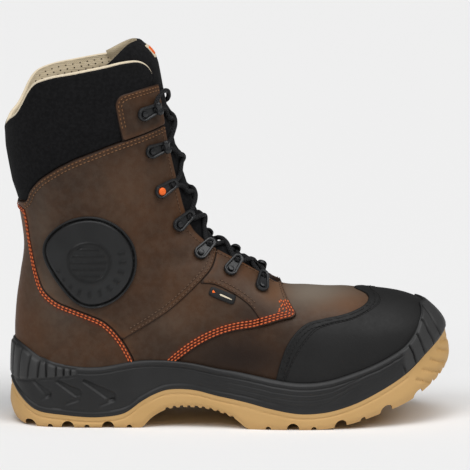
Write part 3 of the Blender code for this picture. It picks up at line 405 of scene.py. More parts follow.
@dataclass
class Skin:
    """An open surface: points, outward normals, faces, and values at the points."""

    points: Array
    normals: Array
    faces: Faces
    values: dict[str, Array] = field(default_factory=dict)

    def distance(self, outline: Array) -> Array:
        """Distance over the surface to a closed side-view outline, positive inside."""
        flat = self.points[:, (0, 2)]
        gap, nearest, _ = line_distance(flat, np.vstack((outline, outline[:1])))
        toward = (flat - nearest) / np.maximum(gap, 1e-6)[:, None]
        lean = toward[:, 0] * self.normals[:, 0] + toward[:, 1] * self.normals[:, 2]
        return np.where(inside(flat, outline), gap, -gap) / np.sqrt(np.maximum(1.0 - lean ** 2, 0.2))

    def kept(self, faces: Faces) -> "Skin":
        """The surface with only the given faces and the points that they use."""
        used = np.unique([i for face in faces for i in face]).astype(int)
        place = np.zeros(len(self.points), int)
        place[used] = np.arange(len(used))
        return Skin(self.points[used], unit(self.normals[used]), [tuple(place[i] for i in face) for face in faces],
                    {name: column[used] for name, column in self.values.items()})

    @staticmethod
    def _crossings(height: Array, spots: Iterable[tuple[int, int]]) -> Callable[[Array], Array]:
        """Blend of a table's rows where a height is 0 between pairs of points."""
        start, end = np.array(list(spots), int).reshape(-1, 2).T
        share = height[start] / (height[start] - height[end])
        return lambda table: (table[start].T * (1.0 - share) + table[end].T * share).T

    def cut(self, values: Array, level: float = 0.0, keep_both: bool = False) -> "Skin":
        """Surface cut along a level line of a value.

        Args:
            values: value at each point.
            level: where to cut.
            keep_both: keep the part below the level too.
        Returns:
            The part above the level, or both with the line as edges.
        """
        height = values - level
        height = np.where(np.abs(height) < SNAP, 0.0, height)
        above, on_line = (height >= 0.0).tolist(), (height == 0.0).tolist()
        spots: dict[tuple[int, int], int] = {}
        faces: Faces = []
        for face in self.faces:
            flags = [above[i] for i in face]
            if all(flags) or not any(flags):
                if keep_both or flags[0]:
                    faces.append(face)
                continue
            upper: list[int] = []
            lower: list[int] = []
            for a, b in zip(face, face[1:] + face[:1]):
                (upper if above[a] else lower).append(a)
                if above[a] != above[b]:
                    spot = a if on_line[a] else b if on_line[b] else spots.setdefault(
                        (min(a, b), max(a, b)), len(self.points) + len(spots))
                    upper.append(spot)
                    lower.append(spot)
            rings = [tuple(dict.fromkeys(side)) for side in ((upper, lower) if keep_both else (upper,))]
            faces += [ring for ring in rings if len(ring) > 2]
        between = self._crossings(height, spots)
        points, normals = (np.vstack((table, between(table))) for table in (self.points, self.normals))
        columns = {name: np.concatenate((column, between(column))) for name, column in self.values.items()}
        return Skin(points, normals, self.faces, columns).kept(faces)

    def contour(self, values: Array, level: float, shortest: float = 8.0) -> list[Path]:
        """Level lines of a value over the surface, longest first."""
        height = np.where(values == level, 1e-6, values - level)
        above = (height >= 0.0).tolist()
        spots: dict[tuple[int, int], int] = {}
        ties: dict[int, list[int]] = {}
        for face in self.faces:
            hits = [spots.setdefault((min(a, b), max(a, b)), len(spots))
                    for a, b in zip(face, face[1:] + face[:1]) if above[a] != above[b]]
            for a, b in zip(hits[::2], hits[1::2]):
                ties.setdefault(a, []).append(b)
                ties.setdefault(b, []).append(a)
        between = self._crossings(height, spots)
        points, normals = between(self.points), between(self.normals)
        left = set(ties)
        lines: list[Path] = []
        for start in sorted(ties, key=lambda spot: len(ties[spot])):
            chain: list[int] = []
            follow = start if start in left else None
            while follow is not None:
                chain.append(follow)
                left.discard(follow)
                follow = next((spot for spot in ties[follow] if spot in left), None)
            if len(chain) > 2 and chain[0] in ties[chain[-1]]:
                chain.append(chain[0])
            if chain:
                lines.append(Path(points[chain], normals[chain]))
        return sorted((line for line in lines if line.length() > shortest), key=lambda line: -line.length())

    def solid(self, top: Array | float, bottom: Array | float) -> Mesh:
        """Closed solid between two heights over the surface."""
        count = len(self.points)
        layers = [self.points + self.normals * np.broadcast_to(height, count)[:, None] for height in (top, bottom)]
        edges = {(a, b) for face in self.faces for a, b in zip(face, face[1:] + face[:1])}
        rim = [(b, a, a + count, b + count) for a, b in edges if (b, a) not in edges]
        under = [tuple(i + count for i in reversed(face)) for face in self.faces]
        return np.vstack(layers), self.faces + under + rim


@dataclass
class Last:
    """Form of the upper, read from its section table."""

    front_round: float = 2.25
    back_round: float = 2.1
    throat_share: float = 0.52
    throat_end: float = 0.4
    row_length: float = 17.0
    heel_press: float = 1.3
    toe_press: float = 1.5
    vamp_dip: float = 0.8

    @staticmethod
    def sections(where: Array) -> dict[str, Array]:
        """Columns of the smoothed section table."""
        table = smooth_rows(UPPER_SECTIONS, where)
        table[:, 4:8] = np.maximum(table[:, 4:8], 0.0)
        return dict(zip(UPPER_COLUMNS, table.T))

    @staticmethod
    def placed(row: dict[str, Array], along: Array, y: Array) -> Array:
        """Points at a share of the way from ridge to base, and at a distance from the middle."""
        return np.stack((row["top_x"] + along * (row["base_x"] - row["top_x"]), row["mid_y"] + y,
                         row["top_z"] + along * (row["base_z"] - row["top_z"])), axis=-1)

    def grid(self, where: Array, across: Array, side: Side) -> tuple[Array, dict[str, Array]]:
        """Points of one side of the form.

        Args:
            where: row places.
            across: 0 at the ridge, 1 at the widest line, 2 at the base.
            side: lateral or medial.
        Returns:
            Points as rows by columns, and values at them.
        """
        row = {name: column[:, None] for name, column in self.sections(where).items()}
        width, base = row[side.label], row["base_" + side.label]
        ahead = across <= 1.0
        front = np.clip(across, 0.0, 1.0) * math.pi / 2
        drop = np.sin(np.clip(across - 1.0, 0.0, 1.0) * math.pi / 2) ** (2.0 / self.back_round)
        narrow = np.maximum(1.0 - drop ** self.back_round, 0.0) ** (1.0 / self.back_round)
        cosine = np.maximum(np.cos(front), 0.0)
        y = np.where(ahead, width * np.sin(front) ** (2.0 / self.front_round), base + (width - base) * narrow)
        along = np.where(ahead, row["belly"] * (1.0 - cosine ** (2.0 / self.front_round)),
                         row["belly"] + (1.0 - row["belly"]) * drop)
        half = np.minimum(row["throat"], self.throat_share * width)
        behind = where[:, None] - THROAT_ROW
        out = np.where(ahead, y, 2.0 * width - y)
        slot = np.where(behind > 0.0, out - half * np.sqrt(np.clip(behind / self.throat_end, 0.0, 1.0)),
                        np.hypot(out, behind * self.row_length))
        values = {"row": np.broadcast_to(where[:, None], y.shape), "out": out, "slot": slot}
        return self.placed(row, along, side.value * y), values

    def skin(self, where: Array, across: Array, sides: Iterable[Side] = tuple(Side)) -> Skin:
        """Dense surface of one or both sides, welded along the ridge and the back."""
        grids = [self.grid(where, across, side) for side in sides]
        size = len(where) * len(across)
        quads = [grid_quads(len(where), len(across), number * size)[:, ::side.value]
                 for number, side in enumerate(sides)]
        points = np.vstack([grid.reshape(-1, 3) for grid, _ in grids])
        _, first, place = np.unique(np.round(points, 3), axis=0, return_index=True, return_inverse=True)
        rings = [tuple(dict.fromkeys(face)) for face in place.reshape(-1)[np.vstack(quads)].tolist()]
        rings = [ring for ring in rings if len(ring) > 2]
        values = {name: np.concatenate([table[name].ravel() for _, table in grids])[first] for name in grids[0][1]}
        return self.tinted(self.creased(Skin(points[first], face_normals(points[first], rings), rings, values)))

    def creased(self, skin: Skin) -> Skin:
        """The surface with its soft folds and flats pressed in."""
        flat = skin.points[:, (0, 2)]
        x, z = flat.T
        depth = self.heel_press * ease(-x, 124.0, 144.0) * ease(z, 46.0, 58.0) * (1.0 - ease(z, 108.0, 136.0))
        depth += self.toe_press * ease(x, 78.0, 98.0) * ease(z, 62.0, 80.0) * (1.0 - ease(x, 138.0, 146.0))
        depth += self.vamp_dip * ridge(x - 70.0, 13.0) * ease(z, 80.0, 90.0)
        for deep, width, knots in CREASES:
            gap, _, share = line_distance(flat, smooth_line(knots))
            depth += deep * ridge(gap, width) * np.sin(math.pi * np.clip(share, 0.04, 0.96))
        skin.points = skin.points - skin.normals * depth[:, None]
        skin.normals = face_normals(skin.points, skin.faces)
        return skin

    @staticmethod
    def tinted(skin: Skin) -> Skin:
        """The surface with its leather colour values, the pale pull-up one partly a painted highlight."""
        x, z = skin.points[:, 0], skin.points[:, 2]
        skin.values.update({tint.value: np.zeros(len(x)) for tint in Tint})
        for tint, cx, cz, wide, high, strength in TINTS:
            skin.values[tint.value] += strength * np.exp(-((x - cx) / wide) ** 2 - ((z - cz) / high) ** 2)
        return skin

    def ridge_spots(self, where: Array, y: Array) -> Array:
        """Places over the ridge, by row and distance from the middle."""
        row = self.sections(where)
        share = np.minimum(np.abs(y) / np.where(y < 0.0, row["lateral"], row["medial"]), 0.999)
        rise = (1.0 - share ** self.front_round) ** (1.0 / self.front_round)
        return self.placed(row, row["belly"] * (1.0 - rise), y)

    def front(self, where: Array, y: Array) -> tuple[Array, Array]:
        """Places over the ridge and their normals.

        Args:
            where: row places.
            y: distance from the middle, medial side positive.
        Returns:
            Points and outward normals.
        """
        spots = self.ridge_spots
        ahead = spots(np.minimum(where + 0.05, LAST_ROW), y) - spots(where - 0.05, y)
        normal = np.cross(spots(where, y + 0.3) - spots(where, y - 0.3), ahead)
        normal *= np.sign(normal[:, :1] + 1e-9 + 0.5 * normal[:, 2:3])
        return spots(where, y), unit(normal)


class Tree:
    """Adds and joins nodes of one shader or geometry tree."""

    def __init__(self, tree: bpy.types.NodeTree) -> None:
        """Keeps the tree that nodes are added to."""
        self.tree = tree

    def add(self, kind: str, inputs: dict | None = None, **settings: object) -> bpy.types.Node:
        """New node with its settings, and its inputs joined or set.

        Args:
            kind: node type.
            inputs: input name or number to socket or value.
            settings: node properties.
        Returns:
            The node.
        """
        node = self.tree.nodes.new(kind)
        for name, value in settings.items():
            setattr(node, name, value)
        self.feed(node, inputs or {})
        return node

    def feed(self, node: bpy.types.Node, inputs: dict) -> None:
        """Joins or sets inputs of a node."""
        for name, value in inputs.items():
            if isinstance(value, Socket):
                self.tree.links.new(value, node.inputs[name])
            else:
                node.inputs[name].default_value = value

    def get(self, kind: str, output: str | int = 0, inputs: dict | None = None, **settings: object) -> Socket:
        """One output of a new node."""
        return self.add(kind, inputs, **settings).outputs[output]

    def math(self, operation: str, *terms: object, clamp: bool = False) -> Socket:
        """Result of one sum."""
        return self.get("ShaderNodeMath", 0, dict(enumerate(terms)), operation=operation, use_clamp=clamp)

    def soft(self, value: Socket, low: float, high: float) -> Socket:
        """Soft step from 0 at low to 1 at high, which may be the smaller one."""
        return self.get("ShaderNodeMapRange", "Result", {"Value": value, "From Min": low, "From Max": high},
                        interpolation_type="SMOOTHSTEP")

    def noise(self, vector: Socket, scale: object, detail: float, rough: float) -> Socket:
        """Noise value."""
        return self.get("ShaderNodeTexNoise", "Fac", {"Vector": vector, "Scale": scale, "Detail": detail,
                                                      "Roughness": rough})

    def value(self, name: str) -> Socket:
        """Value carried by the mesh."""
        return self.get("ShaderNodeAttribute", "Fac", attribute_name=name)


Effect = Callable[[Tree, dict[str, Socket]], dict[str, Socket]]


def shader_group(name: str, inputs: dict[str, str], build: Effect) -> bpy.types.NodeTree:
    """Shared shader effect as a node group.

    Args:
        name: name of the effect.
        inputs: input names with socket kinds.
        build: adds the nodes and returns a socket for each output.
    Returns:
        The group.
    """
    group = bpy.data.node_groups.new(name, "ShaderNodeTree")
    for label, kind in inputs.items():
        group.interface.new_socket(name=label, in_out="INPUT", socket_type="NodeSocket" + kind)
    tree = Tree(group)
    results = build(tree, dict(tree.add("NodeGroupInput").outputs.items()))
    for label in results:
        group.interface.new_socket(name=label, in_out="OUTPUT", socket_type="NodeSocketFloat")
    tree.add("NodeGroupOutput", results)
    return group


def grain_nodes(tree: Tree, given: dict[str, Socket]) -> dict[str, Socket]:
    """Pores and fine wrinkles of a hide or a moulded skin."""
    cells = tree.get("ShaderNodeTexVoronoi", "Distance", {"Vector": given["Vector"], "Scale": given["Scale"]})
    wrinkles = tree.noise(given["Vector"], tree.math("MULTIPLY", given["Scale"], 0.4), 4.0, 0.6)
    height = tree.math("ADD", tree.math("MULTIPLY", cells, 0.6), tree.math("MULTIPLY", wrinkles, 0.7))
    return {"Height": height, "Tone": wrinkles}


def mottle_nodes(tree: Tree, given: dict[str, Socket]) -> dict[str, Socket]:
    """Cloudy patches with soft edges."""
    return {"Mask": tree.soft(tree.noise(given["Vector"], given["Scale"], 5.0, 0.62), 0.36, 0.66)}


def weave_nodes(tree: Tree, given: dict[str, Socket]) -> dict[str, Socket]:
    """Crossing threads of a plain weave."""
    parts = tree.add("ShaderNodeSeparateXYZ", {0: given["Vector"]}).outputs
    turn = tree.math("DIVIDE", math.tau, given["Pitch"])
    wave = {axis: tree.math("SINE", tree.math("MULTIPLY", parts[axis], turn)) for axis in "XYZ"}
    upright = tree.math("MAXIMUM", wave["X"], wave["Y"])
    return {"Height": tree.math("MULTIPLY_ADD", tree.math("MULTIPLY", upright, wave["Z"]), 0.5, 0.5)}


def wear_nodes(tree: Tree, given: dict[str, Socket]) -> dict[str, Socket]:
    """Broken band along a panel's edge."""
    band = tree.soft(tree.math("DIVIDE", given["Edge"], given["Width"]), 1.0, 0.1)
    return {"Mask": tree.math("MULTIPLY", band, tree.soft(tree.noise(given["Vector"], 260.0, 3.0, 0.6), 0.25, 0.6))}


GRAIN = shader_group("fine grain", {"Vector": "Vector", "Scale": "Float"}, grain_nodes)
MOTTLE = shader_group("cloudy tone", {"Vector": "Vector", "Scale": "Float"}, mottle_nodes)
WEAVE = shader_group("plain weave", {"Vector": "Vector", "Pitch": "Float"}, weave_nodes)
WEAR = shader_group("edge wear", {"Edge": "Float", "Width": "Float", "Vector": "Vector"}, wear_nodes)


class Coat(Tree):
    """Shader tree of one finish, its colour painted layer by layer."""

    def __init__(self, finish: "Finish") -> None:
        """Starts the material with the finish's plain values."""
        self.material = bpy.data.materials.new(finish.name)
        self.material.use_nodes = True
        self.material.diffuse_color = (*finish.colour, 1.0)
        super().__init__(self.material.node_tree)
        self.shader = self.tree.nodes["Principled BSDF"]
        self.place = self.get("ShaderNodeTexCoord", "Object")
        self.colour: Socket | tuple[float, ...] = (*finish.colour, 1.0)
        self.feed(self.shader, {"Base Color": self.colour, "Roughness": finish.roughness,
                                "Specular IOR Level": finish.specular})

    def effect(self, group: bpy.types.NodeTree, **inputs: object) -> bpy.types.bpy_prop_collection:
        """Outputs of a shared effect over the object's own coordinates."""
        return self.add("ShaderNodeGroup", {"Vector": self.place, **inputs}, node_tree=group).outputs

    def paint(self, share: Socket, strength: float, colour: Colour) -> None:
        """Lays a colour over those before it, where the share is above 0."""
        share = self.math("MULTIPLY", share, strength, clamp=True)
        self.colour = self.get("ShaderNodeMix", 2, {0: share, 6: self.colour, 7: (*colour, 1.0)}, data_type="RGBA")

    def done(self, height: Socket, strength: float, distance: float, **more: object) -> Material:
        """The finished material.

        Args:
            height: height of the fine relief.
            strength: strength of the relief.
            distance: its depth in millimetres.
            more: further inputs of the shader, by name with _ for a space.
        Returns:
            The material.
        """
        normal = self.get("ShaderNodeBump", "Normal", {"Height": height, "Strength": strength,
                                                       "Distance": distance * MM})
        inputs = {name.replace("_", " "): value for name, value in more.items()}
        self.feed(self.shader, {"Base Color": self.colour, "Normal": normal, **inputs})
        return self.material


@dataclass(frozen=True)
class Finish:
    """Plain finish: a named material of one colour."""

    name: str
    colour: Colour
    roughness: float = 0.6
    specular: float = 0.3

    def make(self) -> Material:
        """The finished material."""
        return Coat(self).material


@dataclass(frozen=True)
class Leather(Finish):
    """Oiled nubuck with burnished places, pale pull-up places that are partly a painted highlight, and dark raw
    edges.
    """

    warm: Colour = (0.165, 0.062, 0.018)
    pale: Colour = (0.205, 0.172, 0.136)
    dark: Colour = (0.016, 0.0085, 0.0055)
    raw: Colour = (0.012, 0.007, 0.005)
    dyed: Colour = (0.108, 0.015, 0.005)
    cloud_scales: tuple[float, ...] = (15.0, 22.0, 190.0)
    grain_scale: float = 900.0
    worn_width: float = 5.0

    def make(self) -> Material:
        """The finished material."""
        coat = Coat(self)
        clouds, glow, specks = (coat.effect(MOTTLE, Scale=scale)["Mask"] for scale in self.cloud_scales)
        grain = coat.effect(GRAIN, Scale=self.grain_scale)
        edge = coat.value("edge")
        wear = coat.effect(WEAR, Edge=edge, Width=self.worn_width)["Mask"]
        burnish = coat.math("MULTIPLY", coat.value(Tint.BURNISH.value), 0.75)
        for share, strength, colour in (
                (clouds, 0.42, self.dark), (glow, 0.18, self.warm), (specks, 0.07, self.pale),
                # pale pull-up tint, partly a painted highlight
                (coat.value(Tint.HAZE.value), 0.72, self.pale),
                (coat.math("MULTIPLY_ADD", wear, 0.22, burnish), 1.0, self.warm),
                (coat.value(Tint.SHADE.value), 0.85, self.dark), (coat.value(Tint.SEWN.value), 0.6, self.dyed),
                (coat.soft(edge, 0.9, 0.25), 0.85, self.raw)):
            coat.paint(share, strength, colour)
        rough = coat.math("MULTIPLY_ADD", grain["Tone"], 0.22, self.roughness - 0.1)
        return coat.done(coat.math("MULTIPLY_ADD", specks, 0.3, grain["Height"]), 0.3, 0.2, Roughness=rough)


@dataclass(frozen=True)
class Moulded(Finish):
    """Moulded rubber or plastic with a fine skin grain, a painted highlight on raised faces, and darker marks with
    painted shade in grooves.
    """

    light: Colour = (0.060, 0.060, 0.062)
    scale: float = 1400.0
    strength: float = 0.25
    # colour of the painted highlight on raised faces
    worn: Colour = (0.036, 0.036, 0.036)
    # colour of the darker marks and of the painted shade in grooves
    recess: Colour = (0.004, 0.004, 0.004)
    cloud_scale: float = 26.0

    def make(self) -> Material:
        """The finished material."""
        coat = Coat(self)
        grain = coat.effect(GRAIN, Scale=self.scale)
        coat.paint(coat.effect(MOTTLE, Scale=self.cloud_scale)["Mask"], 0.45, self.light)
        # painted highlight on raised faces
        coat.paint(coat.value(Tint.WORN.value), 1.0, self.worn)
        # darker marks in their own tone, and painted shade in grooves
        coat.paint(coat.value(Tint.RECESS.value), 0.85, self.recess)
        rough = coat.math("MULTIPLY_ADD", grain["Tone"], 0.2, self.roughness - 0.1)
        return coat.done(grain["Height"], self.strength, 0.15, Roughness=rough)


@dataclass(frozen=True)
class Cloth(Finish):
    """Woven or knitted cloth, with painted shade in the gaps of its weave."""

    light: Colour = (0.05, 0.05, 0.052)
    pitch: float = 0.9
    strength: float = 0.6
    gaps: Colour = (0.0, 0.0, 0.0)
    fuzz_scale: float = 420.0
    sheen: float = 0.02

    def make(self) -> Material:
        """The finished material."""
        coat = Coat(self)
        weave = coat.effect(WEAVE, Pitch=self.pitch * MM)["Height"]
        coat.paint(coat.effect(MOTTLE, Scale=self.fuzz_scale)["Mask"], 0.5, self.light)
        # painted shade in the weave's gaps
        coat.paint(coat.soft(weave, 0.5, -0.4), 0.4, self.gaps)
        return coat.done(weave, self.strength, 0.25, Sheen_Weight=self.sheen)


@dataclass(frozen=True)
class Thread(Finish):
    """Twisted sewing thread, darker at random along its twist, with painted shade at both ends of each stitch, where
    it goes into its hole.
    """

    # colour of the painted shade at a stitch's ends, also laid faintly over the twist
    ends: Colour = (0.02, 0.012, 0.008)
    twist_scale: float = 2600.0

    def make(self) -> Material:
        """The finished material."""
        coat = Coat(self)
        twist = coat.noise(coat.place, self.twist_scale, 2.0, 0.5)
        coat.paint(coat.soft(twist, 0.6, 0.3), 0.35, self.ends)
        # painted shade at both ends of each stitch
        coat.paint(coat.soft(coat.math("ABSOLUTE", coat.value("span")), 0.2, 0.85), 1.0, self.ends)
        return coat.done(twist, 0.5, 0.2)


@dataclass(frozen=True)
class Braid(Finish):
    """Round braided cord, its strands crossing along its own length, with a painted highlight on their crests."""

    light: Colour = (0.035, 0.035, 0.037)
    sheen: float = 0.02

    def make(self) -> Material:
        """The finished material."""
        coat = Coat(self)
        parts = coat.add("ShaderNodeSeparateXYZ", {0: coat.get("ShaderNodeUVMap", "UV", uv_map="braid")}).outputs
        turns = [coat.math(sign, parts["X"], parts["Y"]) for sign in ("ADD", "SUBTRACT")]
        cross = coat.math("MAXIMUM", *(coat.math("SINE", coat.math("MULTIPLY", turn, math.tau)) for turn in turns))
        # painted highlight on the strand crests
        coat.paint(coat.soft(cross, -0.2, 0.9), 1.0, self.light)
        return coat.done(cross, 0.8, 0.35, Sheen_Weight=self.sheen)


FINISHES: dict[str, Finish] = {
    "leather": Leather("oiled leather", (0.0485, 0.0258, 0.0143), 0.55, 0.2),
    "rubber": Moulded("honey rubber", (0.56, 0.342, 0.132), 0.6, 0.3, (0.62, 0.39, 0.165), 900, 0.2),
    "moulded": Moulded("moulded midsole", (0.0145, 0.0145, 0.0148), 0.5, 0.32, (0.023, 0.023, 0.0235), 1200, 0.3),
    "guard": Moulded("scuff guard", (0.0068, 0.0067, 0.0067), 0.64, 0.34, (0.0118, 0.0115, 0.0115), 800, 0.5),
    "pad": Moulded("ankle guard", (0.0145, 0.0148, 0.0152), 0.45, 0.28, (0.024, 0.0245, 0.025), 1500, 0.2),
    "textile": Cloth("woven cuff cloth", (0.008, 0.008, 0.0085), 0.85, 0.05, (0.017, 0.017, 0.018)),
    "lining": Cloth("mesh lining", (0.5, 0.415, 0.28), 0.9, 0.1, (0.58, 0.495, 0.365), 1.4, 0.5),
    "binding": Cloth("collar binding", (0.74, 0.63, 0.46), 0.85, 0.1, (0.84, 0.74, 0.58), 0.8, 0.4),
    # dark discs that stand in for the lining's holes: painted shade
    "hole": Moulded("lining holes", (0.06, 0.045, 0.03), 0.9, 0.05, (0.08, 0.06, 0.04)),
    "footbed": Cloth("felt footbed", (0.045, 0.043, 0.042), 0.95, 0.1, (0.09, 0.085, 0.08), 1.2),
    "hardware": Moulded("lace hardware", (0.01, 0.0105, 0.0115), 0.36, 0.42, (0.022, 0.023, 0.025), 700, 0.12),
    "accent": Moulded("accent rivet", (0.92, 0.15, 0.025), 0.45, 0.2, (0.97, 0.21, 0.04), 900, 0.1),
    "cord": Braid("braided lace", (0.006, 0.006, 0.0065), 0.8, 0.1, (0.022, 0.022, 0.023)),
    "orange": Thread("orange thread", (0.74, 0.18, 0.056), 0.55, 0.2, (0.25, 0.022, 0.005)),
    "tan": Thread("tan thread", (0.23, 0.115, 0.052), 0.6, 0.2, (0.06, 0.025, 0.011)),
    "brown": Thread("brown thread", (0.135, 0.083, 0.052), 0.6, 0.2, (0.036, 0.018, 0.011)),
    "black": Thread("black thread", (0.02, 0.019, 0.019), 0.6, 0.2, (0.005, 0.005, 0.005)),
}
Finishes = dict[str, Material]


def linked(name: str, data: bpy.types.ID) -> Item:
    """New object in the scene."""
    item = bpy.data.objects.new(name, data)
    bpy.context.scene.collection.objects.link(item)
    return item


def new_object(name: str, points: Array, faces: Faces, material: Material,
               values: dict[str, Array] | None = None, sharp: float = 42.0) -> Item:
    """Smooth-shaded mesh piece in the scene.

    Args:
        name: piece name.
        points: places in the boot's millimetres.
        faces: rings of point numbers.
        material: its finish.
        values: values kept at the points.
        sharp: angle in degrees above which an edge stays sharp.
    Returns:
        The object.
    """
    mesh = bpy.data.meshes.new(name)
    mesh.from_pydata(((points - CENTRE) * MM).tolist(), [], [tuple(int(i) for i in face) for face in faces])
    for label, column in (values or {}).items():
        layer = mesh.attributes.new(label, "FLOAT", "POINT")
        layer.data.foreach_set("value", np.asarray(column, np.float32))
    work = bmesh.new()
    work.from_mesh(mesh)
    bmesh.ops.remove_doubles(work, verts=work.verts, dist=2e-6)
    bmesh.ops.dissolve_degenerate(work, edges=work.edges, dist=1e-7)
    work.to_mesh(mesh)
    work.free()
    mesh.shade_smooth()
    mesh.set_sharp_from_angle(angle=math.radians(sharp))
    mesh.materials.append(material)
    return linked(name, mesh)


def publish(item: Item, nodes: Sequence[str] = ()) -> None:
    """Makes a piece ride on the boot, in place of its solids."""
    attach(item, "root")
    if nodes:
        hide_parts(*nodes)
    LOG.info("%s: %d points", item.name, len(item.data.vertices))


def geometry_tree(name: str, inputs: dict[str, str]) -> tuple[Tree, dict[str, Socket]]:
    """Empty geometry tree with named inputs.

    Args:
        name: tree name.
        inputs: input names with socket kinds.
    Returns:
        The tree's builder and the sockets of its inputs.
    """
    group = bpy.data.node_groups.new(name, "GeometryNodeTree")
    group.interface.new_socket(name="Geometry", in_out="OUTPUT", socket_type="NodeSocketGeometry")
    for label, kind in {"Geometry": "Geometry", **inputs}.items():
        group.interface.new_socket(name=label, in_out="INPUT", socket_type="NodeSocket" + kind)
    tree = Tree(group)
    return tree, dict(tree.add("NodeGroupInput").outputs.items())


def close_tree(tree: Tree, points: Socket, part: Socket, turn: Socket, finish: Socket) -> bpy.types.NodeTree:
    """Ends a geometry tree with a part on each point, as real, smooth, dressed geometry."""
    laid = tree.get("GeometryNodeInstanceOnPoints", 0, {"Points": points, "Instance": part, "Rotation": turn})
    real = tree.get("GeometryNodeRealizeInstances", 0, {"Geometry": laid})
    smooth = tree.get("GeometryNodeSetShadeSmooth", 0, {"Geometry": real})
    dressed = tree.get("GeometryNodeSetMaterial", 0, {"Geometry": smooth, "Material": finish})
    tree.add("NodeGroupOutput", {"Geometry": dressed})
    return tree.tree


def carried(tree: Tree, name: str) -> Socket:
    """Direction carried by the points."""
    return tree.get("GeometryNodeInputNamedAttribute", "Attribute", {"Name": name}, data_type="FLOAT_VECTOR")


def upright(tree: Tree) -> Socket:
    """Rotation with Z along the carried facing."""
    return tree.get("FunctionNodeAlignRotationToVector", 0, {"Vector": carried(tree, "facing")}, axis="Z")


def facing_turn(tree: Tree, ahead: Socket) -> Socket:
    """Rotation with Z along the carried facing and X ahead."""
    return tree.get("FunctionNodeAlignRotationToVector", 0, {"Rotation": upright(tree), "Vector": ahead},
                    axis="X", pivot_axis="Z")


def stitch_tree() -> bpy.types.NodeTree:
    """Stitches laid end to end along the edges of a mesh."""
    tree, given = geometry_tree("stitch row", {"Pitch": "Float", "Length": "Float", "Thickness": "Float",
                                               "Thread": "Material"})
    curve = tree.get("GeometryNodeMeshToCurve", 0, {"Mesh": given["Geometry"]})
    beads = tree.get("GeometryNodeResampleCurve", 0, {"Curve": curve, "Length": given["Pitch"]}, mode="LENGTH")
    drop = tree.get("GeometryNodeMeshUVSphere", "Mesh", {"Segments": 8, "Rings": 6, "Radius": 0.5})
    lying = tree.get("GeometryNodeTransform", 0, {"Geometry": drop, "Rotation": (0.0, math.pi / 2, 0.0)})
    along = tree.get("ShaderNodeSeparateXYZ", "X", {0: tree.get("GeometryNodeInputPosition")})
    marked = tree.get("GeometryNodeStoreNamedAttribute", 0,
                      {"Geometry": lying, "Name": "span", "Value": tree.math("MULTIPLY", along, 2.0)},
                      data_type="FLOAT", domain="POINT")
    size = tree.get("ShaderNodeCombineXYZ", 0, {0: given["Length"], 1: given["Thickness"], 2: given["Thickness"]})
    stitch = tree.get("GeometryNodeTransform", 0, {"Geometry": marked, "Scale": size})
    turn = facing_turn(tree, tree.get("GeometryNodeInputTangent"))
    return close_tree(tree, beads, stitch, turn, given["Thread"])


def hole_tree() -> bpy.types.NodeTree:
    """Small round holes on the points of a mesh."""
    tree, given = geometry_tree("punched holes", {"Radius": "Float", "Depth": "Float", "Finish": "Material"})
    disc = tree.get("GeometryNodeMeshCylinder", "Mesh", {"Vertices": 6, "Radius": given["Radius"],
                                                         "Depth": given["Depth"]})
    return close_tree(tree, given["Geometry"], disc, upright(tree), given["Finish"])


def part_tree() -> bpy.types.NodeTree:
    """One small part set on each point of a mesh."""
    tree, given = geometry_tree("fixed parts", {"Part": "Object", "Finish": "Material"})
    part = tree.get("GeometryNodeObjectInfo", "Geometry", {"Object": given["Part"]})
    turn = facing_turn(tree, carried(tree, "ahead"))
    return close_tree(tree, given["Geometry"], part, turn, given["Finish"])


def grown(name: str, points: Array, edges: Sequence[tuple[int, int]], vectors: dict[str, Array],
          group: bpy.types.NodeTree, inputs: dict[str, object]) -> Item:
    """Piece grown by a geometry tree on points or lines.

    Args:
        name: piece name.
        points: places in the boot's millimetres.
        edges: joined points.
        vectors: directions kept at the points.
        group: the tree.
        inputs: its input values by name.
    Returns:
        The piece as a plain mesh.
    """
    mesh = bpy.data.meshes.new(name)
    mesh.from_pydata(((points - CENTRE) * MM).tolist(), list(edges), [])
    for label, column in vectors.items():
        layer = mesh.attributes.new(label, "FLOAT_VECTOR", "POINT")
        layer.data.foreach_set("vector", np.asarray(column, np.float32).ravel())
    item = linked(name, mesh)
    modifier = item.modifiers.new("growth", "NODES")
    modifier.node_group = group
    for socket in group.interface.items_tree:
        if socket.item_type == "SOCKET" and socket.in_out == "INPUT" and socket.name in inputs:
            modifier[socket.identifier] = inputs[socket.name]
    graph = bpy.context.evaluated_depsgraph_get()
    graph.update()
    item.data = bpy.data.meshes.new_from_object(item.evaluated_get(graph))
    item.modifiers.clear()
    return item


def tube(line: Array, radius: Array | float, sides: int) -> Mesh:
    """Closed round tube along a line, with a radius at each point or all along."""
    ahead = unit(np.gradient(line, axis=0))
    side = np.cross(ahead[0], (0.0, 0.0, 1.0) if abs(ahead[0][2]) < 0.9 else (1.0, 0.0, 0.0))
    turn = np.linspace(0.0, math.tau, sides, endpoint=False)[:, None]
    rings: list[Array] = []
    for place, direction, size in zip(line, ahead, np.broadcast_to(radius, len(line))):
        side = side - direction * side.dot(direction)
        side /= np.linalg.norm(side)
        rings.append(place + size * (np.cos(turn) * side + np.sin(turn) * np.cross(direction, side)))
    return capped(rings)


@dataclass(frozen=True)
class Seam:
    """Rows of stitches beside an edge, inside limits of x and z."""

    thread: str
    gap: str
    levels: tuple[float, ...]
    height: float
    x: tuple[float, float] = (-FAR, FAR)
    z: tuple[float, float] = (-FAR, FAR)
    over_sole: bool = True

    def sewn(self, path: Path) -> Array:
        """True for the points of a line that are sewn."""
        x, z = path.side_view()
        kept = (x > self.x[0]) & (x < self.x[1]) & (z >= self.z[0]) & (z < self.z[1])
        return kept & path.over_sole() if self.over_sole else kept


